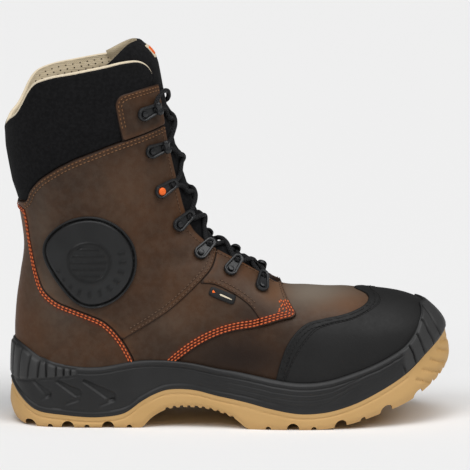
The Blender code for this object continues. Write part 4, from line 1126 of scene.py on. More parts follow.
@dataclass
class Threads:
    """Collects stitch rows by thread and sews them."""

    pitch: float = 2.8
    length: float = 2.8
    thickness: float = 0.75
    bold: float = 0.95
    step: float = 1.2
    rows: dict[str, list[Path]] = field(default_factory=dict)

    def follow(self, seam: Seam, skin: Skin) -> None:
        """Adds the rows of a seam over a surface that carries the distance from its edge."""
        for level in seam.levels:
            for path in skin.contour(skin.values[seam.gap], level):
                for run in path.runs(seam.sewn(path)):
                    self.rows.setdefault(seam.thread, []).append(run.evened(self.step).lifted(seam.height))

    def sew(self, finishes: Finishes) -> None:
        """Makes the stitches of each thread."""
        group = stitch_tree()
        for thread, rows in self.rows.items():
            points, normals = np.vstack([row.points for row in rows]), np.vstack([row.normals for row in rows])
            ends = set(np.cumsum([len(row.points) for row in rows]).tolist())
            edges = [(i, i + 1) for i in range(len(points)) if i + 1 not in ends]
            thickness = self.bold if thread == "orange" else self.thickness
            publish(grown(f"stitches_{thread}", points, edges, {"facing": normals}, group,
                          {"Pitch": self.pitch * MM, "Length": self.length * MM, "Thickness": thickness * MM,
                           "Thread": finishes[thread]}))


@dataclass
class Upper:
    """Leather upper with its overlaid panels."""

    last: Last
    finishes: Finishes
    threads: Threads
    wall: float = 2.0
    panel: float = 1.3
    over: float = 2.3
    counter: float = 2.1
    roll: float = 1.0
    under: float = 0.1
    sewn_top: float = 84.5
    grid_rows: tuple[int, int, int] = (14, 20, 228)
    grid_columns: tuple[int, int] = (46, 38)
    tag_angle: float = -22.0
    tag_centre: tuple[float, float] = (-5.0, 90.4)

    def __post_init__(self) -> None:
        """Makes the dense form that all panels are cut from."""
        (tip, toe, rest), (front, back) = self.grid_rows, self.grid_columns
        where = np.concatenate((np.linspace(0.0, 1.0, tip)[:-1], np.linspace(1.0, 3.0, toe)[:-1],
                                np.linspace(3.0, LAST_ROW, rest)))
        across = np.concatenate((np.linspace(0.0, 1.0, front)[:-1], np.linspace(1.0, 2.0, back)))
        self.skin = self.last.skin(where, across)
        self.halves = {side: self._half(side) for side in Side}
        self.tree = BVHTree.FromPolygons(self.skin.points.tolist(), self.skin.faces)
        self.cuff = self.region(CUFF_SEAM, (FAR, CUFF_SEAM[-1][1]), (FAR, FAR), (-FAR, FAR), (-FAR, CUFF_SEAM[0][1]))

    def _half(self, side: Side) -> Skin:
        """One side of the form, up to its middle plane."""
        column = UPPER_COLUMNS.index("mid_y")
        middle = np.interp(self.skin.values["row"], range(LAST_ROW + 1), [row[column] for row in UPPER_SECTIONS])
        out = (side.value * (self.skin.points[:, 1] - middle)).tolist()
        return self.skin.kept([face for face in self.skin.faces if sum(out[i] for i in face) >= 0.0])

    def beside(self, x: float, z: float, side: Side) -> tuple[Array, Array]:
        """Place and normal of the form at a side-view place."""
        hit = self.tree.ray_cast(Vector((x, side.value * FAR, z)), Vector((0.0, -side.value, 0.0)))
        return np.array(hit[0]), np.array(hit[1]) * (1.0 if hit[1].y * side.value > 0 else -1.0)

    def raised(self, name: str, skin: Skin, edge: Array, low: float, high: float, finish: str = "leather",
               roll: float | None = None, relief: Callable[[Skin], Array] | None = None) -> Item:
        """Panel with rolled edges lying over the form.

        Args:
            name: piece name.
            skin: surface it is cut from.
            edge: distance inside its outline, at the surface's points.
            low: height of its underside.
            high: height of its top.
            finish: name of its finish.
            roll: width of the rolled edge.
            relief: extra height of the top over the cut surface.
        Returns:
            The panel.
        """
        roll = roll or self.roll
        skin.values["edge"] = edge
        part = skin.cut(edge)
        for level in (0.15 * roll, 0.5 * roll, roll):
            part = part.cut(part.values["edge"], level, keep_both=True)
        top = low + (high - low) * (0.4 + 0.6 * rounded(part.values["edge"], roll))
        if relief:
            top = top + relief(part)
        values = {label: np.tile(part.values[label], 2) for label in ("edge", *(tint.value for tint in Tint))}
        return new_object(name, *part.solid(top, low), self.finishes[finish], values)

    @staticmethod
    def region(line: Line, *far: tuple[float, float]) -> Array:
        """Closed outline of a smooth line and far corners."""
        return np.vstack((smooth_line(line), np.array(far)))

    def build(self) -> None:
        """Makes the wall, quarters, shaft panels, eyestays, counter and tag."""
        counter = self.region(COUNTER_LINE, (-65.5, -FAR), (-FAR, -FAR), (-FAR, 154.0), (-146.0, 153.8),
                              (-138.2, 148.6))
        quarter = self.region(QUARTER_LINE, (34.0, 110.0), (60.0, 140.0), (60.0, FAR), (-FAR, FAR), (-FAR, -FAR),
                              (-54.0, -FAR))
        shaft = self.region(SHAFT_LINE, (-9.0, FAR), (-FAR, FAR), (-FAR, 47.0), (-80.0, 56.0))
        eyestay = self.region(EYESTAY_LINE, (24.0, 66.0), (60.0, 60.0), (FAR, 60.0), (FAR, 160.0), (-20.0, 160.0))
        skin = self.skin
        above = skin.distance(self.cuff)
        wall = np.minimum(skin.values["slot"], -above + 3.0)
        publish(self.raised("vamp", skin, wall, -self.wall, 0.0, roll=0.8), ("upper",))
        behind = skin.distance(counter)
        skin.values[Tint.SEWN.value] = ease(behind, 0.5, 1.0) * (1.0 - ease(behind, 3.4, 4.0))
        item = self.raised("heel_stay", skin, np.minimum(behind, 7.0 - above), self.under, self.counter,
                           relief=lambda part: -0.6 * ease(-part.points[:, 0], 126.0, 140.0))
        publish(item, ("heel_counter",))
        skin.values["behind"] = behind
        self.threads.follow(Seam("orange", "behind", (1.4, 3.1), self.counter + 0.1, z=(-FAR, 150.5)), skin)
        for side, half in self.halves.items():
            seam, back, low, shaft_edge, stay = (
                half.distance(outline) for outline in (self.cuff, counter, quarter, shaft, eyestay))
            slot = half.values["slot"]
            half.values[Tint.SEWN.value] = (ease(low, 0.5, 1.0) * (1.0 - ease(low, 5.4, 6.0))
                                            * (1.0 - ease(half.points[:, 2], 81.5, 85.5)))
            body = np.minimum.reduce((low, -seam, -back, slot))
            publish(self.raised(f"front_quarter_{side.label}", half, body, self.under, self.panel),
                    (f"quarter_{side.label}",))
            panel = np.minimum.reduce((shaft_edge, -seam, -back, slot))
            publish(self.raised(f"shaft_panel_{side.label}", half, panel, self.panel - 0.3, self.over))
            front = np.minimum.reduce((stay, low, slot, -shaft_edge - 0.2))
            publish(self.raised(f"eyestay_{side.label}", half, front, self.panel - 0.3, self.over - 0.1))
            half.values.update(low=low, seam=-seam, shaft=shaft_edge, stay=stay)
            self._sew_side(half)
        self._tag()

    def _sew_side(self, half: Skin) -> None:
        """Stitch rows of one side, which carries its distances from the panels' edges."""
        shown = half.cut(half.values["slot"] - 1.5)
        low, high = (-FAR, self.sewn_top), (self.sewn_top, FAR)
        for seam in (Seam("orange", "low", (1.4, 3.2, 5.0), self.panel + 0.1, (-FAR, 17.0), low),
                     Seam("orange", "low", (1.4, 3.2, 5.0), self.over + 0.05, (17.0, 60.0), low),
                     Seam("orange", "low", (6.6, 8.0), self.over + 0.05, (33.0, 60.0), low),
                     Seam("brown", "low", (1.4, 3.2), self.over + 0.05, (20.0, 60.0), high),
                     Seam("tan", "seam", (1.7, 4.0), self.over + 0.1, (-137.0, -44.0), over_sole=False),
                     Seam("brown", "shaft", (1.6, 4.2), self.over + 0.1, (-68.0, 60.0), (-FAR, 124.0)),
                     Seam("brown", "stay", (1.6, 4.2), self.over, (-14.0, 17.0), (-FAR, 99.5), False)):
            self.threads.follow(seam, shown)
        self.threads.follow(Seam("brown", "slot", (3.0,), self.over + 0.05, (-FAR, 30.0), (-FAR, 200.0), False), half)

    def _tag(self) -> None:
        """Plain tag under the eyestay seam of the lateral side."""
        half = self.halves[Side.LATERAL]
        turn = math.radians(self.tag_angle)
        offset = half.points[:, (0, 2)] - np.array(self.tag_centre)
        u = offset @ np.array((math.cos(turn), math.sin(turn)))
        v = offset @ np.array((-math.sin(turn), math.cos(turn)))
        for name, shift, long, high, inset, low, top, finish, roll in (
                ("side_tag", 0.0, 8.2, 2.1, 0.0, -0.2, 1.3, "guard", None),
                ("side_tag_stripe", 2.4, 4.4, 0.1, 0.35, 1.0, 1.5, "binding", 0.3),
                ("side_tag_dot", -6.2, 0.3, 0.3, 0.0, 1.0, 1.6, "accent", 0.4)):
            beyond = np.stack((np.abs(u - shift) - long, np.abs(v) - high))
            bar = 1.0 - np.hypot(*np.maximum(beyond, 0.0)) - np.minimum(beyond.max(axis=0), 0.0)
            publish(self.raised(name, half, bar - inset, self.panel + low, self.panel + top, finish, roll))


@dataclass
class AnkleGuards:
    """Round moulded guards over both ankles."""

    upper: Upper
    centre: tuple[float, float] = (-94.9, 114.1)
    radius: float = 31.7
    flat: float = 26.5
    flat_angle: float = 214.0
    corner: float = 7.0
    rise: float = 4.3
    underside: float = 1.9
    dome: float = 1.1
    groove: Bead = Bead(1.9, 2.1, 0.8)
    motif_rise: float = 0.7
    ring: float = 13.5
    bar_pitch: float = 4.6
    tick_radius: float = 22.0
    tick_count: float = 20.0

    def outline(self) -> Array:
        """Round outline with one flattened side."""
        turn = np.radians(np.arange(0.0, 360.0, 2.5))
        flat = self.flat / np.maximum(np.cos(turn - math.radians(self.flat_angle)), 0.1)
        reach = (self.radius ** -self.corner + flat ** -self.corner) ** (-1.0 / self.corner)
        return np.array(self.centre) + np.stack((reach * np.cos(turn), reach * np.sin(turn)), axis=1)

    def relief(self, part: Skin) -> Array:
        """Groove inside the rim, dome, ring and bars of the middle."""
        edge = part.values["edge"]
        return self.dome * ease(edge, 2.0, 24.0) - self.groove.at(edge) + self.motif_rise * self.motif(part)

    def motif(self, part: Skin) -> Array:
        """Raised share of the plain ring, bars and ticks of the middle."""
        x, z = (part.points[:, (0, 2)] - np.array(self.centre)).T
        reach = np.hypot(x, z)
        ring = ease(reach, self.ring - 1.4, self.ring - 0.8) - ease(reach, self.ring + 0.8, self.ring + 1.4)
        bars = ease(np.cos(z * math.tau / self.bar_pitch), -0.1, 0.5) * ease(-reach, 1.9 - self.ring, 2.6 - self.ring)
        turn = np.degrees(np.arctan2(z, x)) % 360.0
        ticks = (ease(np.cos(np.radians(turn * self.tick_count)), 0.2, 0.7)
                 * ease(-np.abs(reach - self.tick_radius), -2.6, -1.9))
        shown = ((turn > 185.0) | (turn < 20.0)) * ease(part.values["edge"], 4.0, 5.0)
        return ring + bars + ticks * shown

    def build(self) -> None:
        """Makes the guard of each side on its own fine surface."""
        for side in Side:
            skin = self.upper.last.skin(np.linspace(12.0, 21.0, 260), np.linspace(0.55, 1.75, 150), (side,))
            skin.values["edge"] = skin.distance(self.outline())
            near = skin.cut(skin.values["edge"], -2.0)
            edge = near.values["edge"]
            # motif darker in its own tone; painted shade in the groove inside the rim
            near.values[Tint.RECESS.value] = 0.8 * self.motif(near) + ridge(edge - self.groove.place, 0.7)
            item = self.upper.raised(f"ankle_guard_{side.label}", near, edge, self.underside, self.rise, "pad",
                                     relief=self.relief)
            publish(item, (f"ankle_pad_{side.label}",))


@dataclass
class ToeGuard:
    """Scuff guard over the toe with its raised edge band."""

    upper: Upper
    cap: float = 1.2
    band: float = 1.6
    roll: float = 1.2
    groove: Bead = Bead(0.55, 2.1, 0.6)
    rows: tuple[float, float] = (2.0, 4.6)

    def build(self) -> None:
        """Makes the cap, the band and their rows of stitches."""
        skin, upper = self.upper.skin, self.upper
        toe = upper.region(TOE_LINE, (91.0, 130.0), (FAR, 130.0), (FAR, -FAR), (31.2, -FAR))
        inner = upper.region(BAND_LINE, (97.5, 130.0), (FAR, 130.0), (FAR, -FAR), (36.4, -FAR))
        outside, within = skin.distance(toe), skin.distance(inner)
        publish(upper.raised("toe_guard", skin, within + 1.0, upper.under, self.cap, "guard"), ("toe_cap",))
        # whole band a little darker in its own tone; painted shade along its stitch rows
        skin.values[Tint.RECESS.value] = 0.45 + 0.6 * sum(ridge(outside - row, 1.0) for row in self.rows)
        band = upper.raised("toe_edge_band", skin, np.minimum(outside, 0.6 - within), upper.under, self.band, "guard",
                            self.roll, lambda part: -self.groove.at(part.values["edge"]))
        publish(band, ("toe_band",))
        skin.values.update(outside=outside, within=within)
        for gap, level, height in (("outside", self.rows[0], self.band - 0.45),
                                   ("outside", self.rows[1], self.band - 0.1), ("within", 1.1, self.cap + 0.05)):
            upper.threads.follow(Seam("black", gap, (level,), height), skin)


@dataclass
class Cuff:
    """Padded collar, its lining, binding and the hook patches."""

    upper: Upper
    rise: float = 0.9
    depth: float = 6.0
    shallow: float = 2.3
    thinning: float = 2.6
    puff: float = 1.1
    lining: float = 1.0
    binding: float = 1.4
    dip: float = 1.6
    patch: float = 2.4
    hole_pitch: tuple[float, float] = (5.4, 2.5)
    hole_size: tuple[float, float] = (0.6, 0.3)
    lining_row: float = 10.0
    lining_halves: tuple[float, float] = (29.0, 39.5)
    bound_from: tuple[float, float] = (-62.0, 236.0)
    bound_depth: float = 1.6

    def foam(self, seam: Array | float, collar: Array | float) -> Array:
        """Depth of the lining behind the form, from the distances to the seam and to the collar's edge."""
        full = self.shallow + (self.depth - self.shallow) * ease(seam, -8.0, 8.0)
        return full - self.thinning * (1.0 - ease(collar, -0.6, 7.0))

    def build(self) -> None:
        """Makes every piece above the cuff seam."""
        skin, upper = self.upper.skin, self.upper
        seam = skin.distance(upper.cuff)
        collar = skin.distance(upper.region(COLLAR_LINE, (-51.0, -FAR), (-FAR, -FAR), (-FAR, 205.0)))
        collar = collar - self.dip * ease(-skin.points[:, 1], -30.0, 30.0)
        item = upper.raised("padded_cuff", skin, np.minimum.reduce((seam, collar, skin.values["slot"])), -2.4,
                            self.rise, "textile", 1.6, lambda part: self.puff * ease(part.values["edge"], 0.5, 16.0))
        publish(item, ("cuff",))
        skin.values.update(seam_gap=seam, collar_gap=collar)
        self._line(skin)
        self._bind(skin)
        self._patches()

    def _line(self, skin: Skin) -> None:
        """Lining inside the shaft, thick with foam at the cuff, and its rows of holes."""
        row = skin.values["row"]
        half = np.interp(row, (THROAT_ROW, LAST_ROW), self.lining_halves)
        out = skin.values["out"] - np.where(row > self.lining_row, half, 60.0)
        lower = (row - self.lining_row - 0.5) * 12.0
        part = skin.cut(np.minimum.reduce((skin.values["collar_gap"] + 0.6, out, lower)))
        foam = self.foam(part.values["seam_gap"], part.values["collar_gap"])
        publish(new_object("lining", *part.solid(-foam, -foam - self.lining), self.upper.finishes["lining"]))
        self._punch(part)

    def _punch(self, part: Skin) -> None:
        """Staggered holes over the lining's upper part, drawn as dark discs of painted shade."""
        gap = part.values["collar_gap"]
        zone = part.cut(np.minimum(gap - 1.0, 42.0 - gap))
        across, along = self.hole_pitch
        spots: list[Array] = []
        facings: list[Array] = []
        for number, level in enumerate(np.arange(2.2, 40.0, along)):
            for path in zone.contour(zone.values["collar_gap"], level, 20.0):
                even = path.evened(across / 2).lifted(-self.foam(FAR, level) - self.lining)
                spots.append(even.points[number % 2::2])
                facings.append(-even.normals[number % 2::2])
        radius, depth = self.hole_size
        publish(grown("lining_holes", np.vstack(spots), (), {"facing": np.vstack(facings)}, hole_tree(),
                      {"Radius": radius * MM, "Depth": depth * MM, "Finish": self.upper.finishes["hole"]}))

    def _bind(self, skin: Skin) -> None:
        """Pale rounded binding along the collar's edge."""
        path = skin.contour(np.minimum(skin.values["collar_gap"], skin.values["slot"]), 0.0)[0].evened(1.6)
        x, z = path.side_view()
        kept = (x < self.bound_from[0]) | (z > self.bound_from[1])
        for number, run in enumerate(path.runs(kept), start=1):
            line = run.lifted(-self.bound_depth).points
            taper = np.clip(np.minimum(np.arange(len(line)), np.arange(len(line))[::-1]) / 2.0 + 0.4, 0.0, 1.0)
            publish(new_object(f"collar_binding_{number}", *tube(line, self.binding * np.sqrt(taper), 12),
                               self.upper.finishes["binding"]))

    def _patches(self) -> None:
        """Leather patches for the top hooks, with their stitches."""
        outline = self.upper.region(PATCH_LINE, (-20.0, 238.0), (-20.0, 186.0))
        for side, half in self.upper.halves.items():
            edge, seam, slot = half.distance(outline), half.distance(self.upper.cuff), half.values["slot"]
            edge = np.minimum.reduce((edge, seam - 0.3, slot))
            item = self.upper.raised(f"lace_patch_{side.label}", half, edge, 1.0, self.patch + 0.4)
            publish(item, (f"hook_patch_{side.label}",))
            shown = half.cut(np.minimum(slot - 2.0, seam - 2.0))
            shown.values["patch"] = shown.distance(outline)
            seam = Seam("tan", "patch", (1.8, 4.0), self.patch + 0.5, (-FAR, -47.0), (206.0, FAR), False)
            self.upper.threads.follow(seam, shown)


@dataclass
class Tongue:
    """Padded tongue with its lining and a plain patch near the top."""

    last: Last
    finishes: Finishes
    depth: float = 3.3
    thickness: float = 5.0
    halves: tuple[float, float] = (27.0, 41.0)
    corner: float = 1.03
    inner_corner: float = 0.85
    extra: float = 3.0
    crown: float = 2.8
    run: float = 240.0
    patch_half: float = 11.5
    patch_rows: tuple[float, float] = (23.75, 24.55)
    row_height: float = 11.0

    def surface(self) -> Skin:
        """Dense outer surface of the tongue."""
        rows = np.linspace(THROAT_ROW - 0.4, LAST_ROW, 130)
        shares = np.linspace(-1.0, 1.0, 47)
        half = np.interp(rows, (THROAT_ROW, LAST_ROW), self.halves)
        fall = np.where(shares < 0.0, self.corner * shares ** 4, self.inner_corner * shares ** 3)
        where = rows[:, None] - fall[None, :] * ease(rows, LAST_ROW - 2.0, LAST_ROW)[:, None]
        out = shares[None, :] * half[:, None]
        points, normals = self.last.front(where.ravel(), out.ravel())
        points = points - normals * self.depth
        points[:, 2] += self.extra * np.repeat(ease(rows, LAST_ROW - 3.0, LAST_ROW), len(shares))
        faces = [tuple(face) for face in grid_quads(len(rows), len(shares)).tolist()]
        if (face_normals(points, faces) * normals).sum() < 0:
            faces = [face[::-1] for face in faces]
        left = np.linspace(1.0, 0.0, len(rows))[:, None] * self.run
        rim = np.minimum((1.0 - np.abs(shares))[None, :] * half[:, None], left)
        return Skin(points, normals, faces, {"edge": rim.ravel(), "out": out.ravel(), "row": where.ravel()})

    def puff(self, edge: Array) -> Array:
        """Height of the padding at a distance from the edge."""
        return self.crown * ease(edge, 2.0, 24.0)

    def build(self) -> None:
        """Makes the cloth front, the lining and the patch."""
        skin = self.surface()
        edge = skin.values["edge"]
        middle = -0.4 * self.thickness
        front = middle + (self.puff(edge) - middle) * rounded(edge, 3.2) + 0.2
        item = new_object("padded_tongue", *skin.solid(front, middle), self.finishes["textile"])
        publish(item, ("tongue",))
        back = middle - 0.5 - 0.5 * self.thickness * rounded(edge, 3.0)
        publish(new_object("tongue_lining", *skin.solid(middle - 0.02, back), self.finishes["lining"]))
        row, out = skin.values["row"], np.abs(skin.values["out"])
        first, last = self.patch_rows
        label = np.minimum.reduce((self.patch_half - out, (last - row) * self.row_height,
                                   (row - first) * self.row_height))
        for name, inset, rise, finish in (("tongue_patch", 0.0, 0.5, "binding"),
                                          ("tongue_patch_middle", 2.0, 0.8, "accent")):
            patch = skin.cut(label - inset)
            publish(new_object(name, *patch.solid(rise + self.puff(patch.values["edge"]), -1.0),
                               self.finishes[finish]))


@dataclass
class Sole:
    """Midsole and outsole."""

    upper: Upper
    finishes: Finishes
    step: float = 0.95
    lip_width: float = 1.8
    well_slope: float = 1.6
    well_height: float = 7.5
    foot_rows: int = 16
    rim: float = 3.2
    bulge: float = 0.78
    bevel: float = 3.2
    bevel_rise: float = 0.3
    wall_inset: float = 0.3
    notch_reach: float = 26.0
    arch_notch: float = 1.05
    arch_reach: float = 9.0
    bar_pitch: float = 11.0
    lip_bead: Bead = Bead(0.7, 1.7, 1.3)
    lip_groove: Bead = Bead(0.5, 4.2, 0.8)
    rim_bead: Bead = Bead(0.5, 1.4, 1.0)
    rim_groove: Bead = Bead(0.6, 3.4, 0.7)
    heel_groove: Bead = Bead(0.5, -0.9, 0.8)
    wall_groove: Bead = Bead(0.55, 3.4, 0.6)
    flexes: tuple[float, ...] = (7.0, 10.6, 14.2)
    flex_depth: float = 0.45
    slat_face: float = 0.85
    slat_cut: float = 1.5
    toe_cut: float = 1.1
    tread_cut: float = 2.6
    tread_bar: float = 1.4
    heel_slats: tuple[float, ...] = (2.5, 12.5, 22.6, 31.8, 40.2, 47.6, 54, 59.5, 64.5, 69)
    slat_floor: Line = ((-151, 31), (-139, 32), (-125, 33.7), (-107, 35.8), (-97, 38.5))
    dents: tuple[tuple[float, ...], ...] = (
        (-133.3, 30.7, -124, 22.9, 0.9, 2.2, 1.3), (-117.7, 31.8, -103.8, 23.9, 0.9, 2.8, 1.6),
        (-99.1, 32.4, -81, 21.8, 0.9, 3.2, 1.6), (-127.8, 19.4, -123.2, 22, 0.9, 1.2, 0.9),
        (-111.6, 16.7, -103.8, 19.6, 0.9, 1.4, 1), (-88.7, 15.5, -79.4, 19.4, 0.9, 1.4, 1))
    toe_lift: Line = ((0, -2.6), (13, -2.2), (27, 1.8), (44, 2), (63, 0))
    toe_cuts: tuple[Line, ...] = (
        ((153, 52.4), (146.2, 54.6)), ((152, 46.2), (143.6, 49.9)), ((149.5, 39.1), (138.4, 44)),
        ((146, 34), (132.8, 37.8)), ((141, 27.4), (128.5, 31.5)))
    toe_grooves: tuple[Line, ...] = (
        ((127, 79.6), (133.2, 79), (138, 73.9), (141.9, 67.3), (145.8, 59.4)),
        ((127, 73.4), (132.8, 70.8), (136.2, 64.2), (139.3, 58.5), (141.2, 52.6)),
        ((125.6, 66.2), (129.3, 61.1), (131.9, 55), (135.4, 46)),
        ((121.6, 57.4), (125.3, 50.6), (127.1, 44.8), (128.4, 38.4)),
        ((116.2, 48.2), (119.7, 39.6), (121.2, 32.2)))

    def __post_init__(self) -> None:
        """Spaces stations evenly round the edge, with more at the notches and the toe."""
        fine = np.linspace(0.0, len(SOLE_STATIONS) - 1, 6000)
        table = smooth_rows(SOLE_STATIONS, fine)
        run = run_of(table[:, :2])
        places = list(np.linspace(0.0, run[-1], round(run[-1] / self.step) + 1))
        for x, radius in (*NOTCHES, *((x, self.arch_notch) for x in ARCH_NOTCHES)):
            for dx in (-1.02, -0.98, -0.9, -0.7, -0.4, 0.0, 0.4, 0.7, 0.9, 0.98, 1.02):
                places.append(float(np.interp(x + dx * radius, table[:, 0], run)))
        places += list(np.arange(run[-1] - 66.0, run[-1], 0.5))
        places = np.unique(np.round(places, 2))
        places = places[np.concatenate(((True,), np.diff(places) > 0.06))]
        rows = smooth_rows(SOLE_STATIONS, np.interp(places, run, fine))
        rows[:, (1, 3)] = np.maximum(rows[:, (1, 3)], 0.0)
        rows[0, 1] = rows[-1, 1] = 0.0
        self.count = len(rows)
        order = np.concatenate((np.arange(self.count), np.arange(self.count - 2, 0, -1)))
        self.total = len(order)
        self.x, half, middle, self.base, self.join, top, self.lip = rows[order].T
        self.from_heel, self.from_toe = places[order], run[-1] - places[order]
        self.top = top + np.interp(self.from_toe, *zip(*self.toe_lift))
        sign = np.where(np.arange(self.total) < self.count, -1.0, 1.0)
        self.edge = np.stack((self.x, middle + sign * half), axis=1)
        ahead = unit(np.roll(self.edge, -1, axis=0) - np.roll(self.edge, 1, axis=0))
        self.inward = np.stack((-ahead[:, 1], ahead[:, 0]), axis=1)
        self.outward = np.column_stack((-self.inward, np.zeros(self.total)))

    def ring(self, inset: Array | float, height: Array) -> Array:
        """Points round the sole at an inset and a height."""
        inset = np.broadcast_to(inset, self.total)
        return np.column_stack((self.edge + self.inward * inset[:, None], np.broadcast_to(height, self.total)))

    def well(self) -> tuple[Array, Array]:
        """Inset and height of the flat under the foot."""
        foot = sorted((row[2], row[3]) for row in UPPER_SECTIONS[:self.foot_rows])
        floor = np.interp(self.x, *zip(*foot))
        height = np.minimum.reduce((self.join - 0.8, self.base + self.well_height, floor - 4.5))
        return self.lip + self.lip_width + self.well_slope, height

    def ladder(self, start: int, flip: bool) -> Faces:
        """Faces that close a ring from side to side."""
        rings = [tuple(dict.fromkeys((start + i, start + i + 1, start + (self.total - i - 1) % self.total,
                                      start + (self.total - i) % self.total))) for i in range(self.count - 1)]
        return [ring[::-1] if flip else ring for ring in rings]

    def rim_points(self, passes: int = 60) -> list[Array]:
        """Where the midsole's top edge meets the upper: places and normals."""
        places, normals = [], []
        for (x, y), (dx, dy), top in zip(self.edge, self.inward, self.top):
            place, normal, _, _ = self.upper.tree.ray_cast(Vector((x - 20.0 * dx, y - 20.0 * dy, top)),
                                                           Vector((dx, dy, 0.0)))
            if place is None:
                place, normal, _, _ = self.upper.tree.find_nearest(Vector((x, y, top)))
            places.append(np.array(place))
            normals.append(np.array(normal) * (1.0 if normal.x * dx + normal.y * dy < 0.0 else -1.0))
        tables = [np.array(places), np.array(normals)]
        for _ in range(passes):
            tables = [0.25 * np.roll(table, 1, axis=0) + 0.5 * table + 0.25 * np.roll(table, -1, axis=0)
                      for table in tables]
        return [tables[0], unit(tables[1])]

    def wall_relief(self, points: Array, drop: Array) -> Array:
        """Outward relief of the midsole wall.

        Args:
            points: places of one ring.
            drop: distance below the rim at each.
        Returns:
            Height of beads, slats, grooves and dents.
        """
        x, z = points[:, 0], points[:, 2]
        rise = z - self.join
        heel, toe = self.ends()
        relief = self.lip_bead.at(rise) - self.lip_groove.at(rise)
        relief *= (1.0 - 0.85 * toe) * (1.0 - 0.55 * ease(x, -60.0, 0.0))
        relief -= heel * self.heel_groove.at(z - np.interp(x, *zip(*self.slat_floor)))
        face, cut = self.slats(points, drop)
        relief += self.slat_face * face - self.slat_cut * cut
        plain = (1.0 - heel) * (1.0 - toe)
        relief += plain * (self.rim_bead.at(drop) - self.rim_groove.at(drop))
        squeeze = 1.0 - 0.45 * ease(x, 60.0, 96.0)
        shown = plain * ease(x, -32.0, 6.0) * (1.0 - 0.6 * ease(x, 76.0, 98.0))
        for offset in self.flexes:
            relief -= shown * self.flex_depth * ridge(drop - offset * squeeze, 0.6)
        for ax, az, bx, bz, thin, wide, depth in self.dents:
            off, _, along = line_distance(points[:, (0, 2)], np.array(((ax, az), (bx, bz))))
            relief -= depth * ease(thin + (wide - thin) * along - off, -0.8, 0.8)
        return relief

    def ends(self) -> tuple[Array, Array]:
        """Shares of the slatted heel and of the slatted toe round the sole."""
        return ease(-self.from_heel, -70.0, -66.0), ease(-self.from_toe, -66.0, -62.0)

    def slats(self, points: Array, drop: Array) -> tuple[Array, Array]:
        """Shares of raised face and of groove on the slatted heel and toe.

        Args:
            points: places of one ring of the midsole wall.
            drop: distance below the rim at each.
        Returns:
            Share of face and share of groove, 0 to 1.
        """
        x, z = points[:, 0], points[:, 2]
        heel, toe = self.ends()
        floor = np.interp(x, *zip(*self.slat_floor))
        heel_face = heel * ease(z - floor, -0.3, 0.9) * ease(drop, 0.9, 2.8)
        heel_cut = sum(ridge(self.from_heel - edge, 0.75) for edge in self.heel_slats)
        toe_face = toe * ease(z - self.join, 0.8, 2.2) * ease(drop, 0.2, 1.2)
        toe_cut = np.maximum.reduce([ridge(line_distance(points[:, (0, 2)], smooth_line(groove))[0], 0.65)
                                     for groove in self.toe_grooves])
        return heel_face + toe_face, heel_face * np.minimum(heel_cut, 1.0) + toe_face * toe_cut

    def build(self) -> None:
        """Makes both soles."""
        self._midsole()
        self._outsole()

    def _midsole(self) -> None:
        """Lip, shaped wall, rolled rim, the seat that holds the upper, and the underside."""
        inset, well = self.well()
        lip = self.ring(self.lip, self.join + 0.1)
        under = [self.ring(inset, well + 0.1), self.ring(self.lip + self.lip_width, self.join + 0.1)]
        place, normal = self.rim_points()
        thick = (self.rim * (1.0 - 0.1 * ease(-self.from_toe, -60.0, -30.0)))[:, None]
        rim = place + normal * thick
        shoulder = lip.copy()
        bulge = self.bulge - 0.38 * ease(-self.from_toe, -64.0, -24.0)
        shoulder[:, 2] += bulge * (rim[:, 2] - lip[:, 2])
        wall, worn, recess = [], [], []
        for t in np.linspace(0.0, 1.0, 52):
            ring = (1 - t) ** 2 * lip + 2 * t * (1 - t) * shoulder + t ** 2 * rim
            drop = rim[:, 2] - ring[:, 2]
            gain = self.wall_relief(ring, drop) * ease(t, 0.0, 0.03) * (1.0 - ease(t, 0.97, 1.0))
            wall.append(ring + self.outward * gain[:, None])
            # raised slat faces get a painted highlight, the grooves between them painted shade
            face, cut = self.slats(ring, drop)
            worn.append(face)
            recess.append(cut)
        up = np.array((0.0, 0.0, 1.0))
        roll = [place + normal * thick * 0.72 + up * thick * 0.28, place + normal * thick * 0.35 + up * thick * 0.24,
                place + normal * 0.1 + up * 0.1, place - normal * 0.6 - up * 2.0]
        rings = [*under, lip, *wall[1:], *roll, self.ring(inset + 6.0, well + 3.0)]
        faces = (wall_faces(len(rings), self.total) + self.ladder(0, True)
                 + self.ladder((len(rings) - 1) * self.total, False))
        before, after = np.zeros(len(under) * self.total), np.zeros((len(roll) + 1) * self.total)
        values = {tint.value: np.concatenate((before, *columns, after))
                  for tint, columns in ((Tint.WORN, worn), (Tint.RECESS, recess))}
        item = new_object("moulded_midsole", np.vstack(rings), faces, self.finishes["moulded"], values, sharp=50.0)
        publish(item, ("midsole",))

    def tread(self, x: Array, inset: Array) -> Array:
        """Extra height of the tread: round notches, arch ribs and cross cuts."""
        height = np.zeros(np.broadcast(x, inset).shape)
        notches = [(*notch, 0.5, self.notch_reach) for notch in NOTCHES]
        notches += [(centre, self.arch_notch, 0.7, self.arch_reach) for centre in ARCH_NOTCHES]
        for centre, radius, extra, reach in notches:
            bow = np.sqrt(np.maximum(radius ** 2 - (x - centre) ** 2, 0.0))
            bow = np.where(bow > 0.0, bow + extra, 0.0)
            height = np.maximum(height, bow * ease(-inset, -reach, 3.0 - reach))
        for (cut, _), _ in self.toe_cuts:
            height = np.maximum(height, self.tread_cut * ridge(x - cut, 0.7) * ease(-inset, -14.0, -10.0))
        arch = ease(x, -50.0, -44.0) * (1.0 - ease(x, -4.0, 4.0))
        bars = ease(np.abs(((x / self.bar_pitch) % 1.0) - 0.5), 0.40, 0.46)
        return np.maximum(height, self.tread_bar * bars * ease(inset, 29.0, 31.0) * (1.0 - arch))

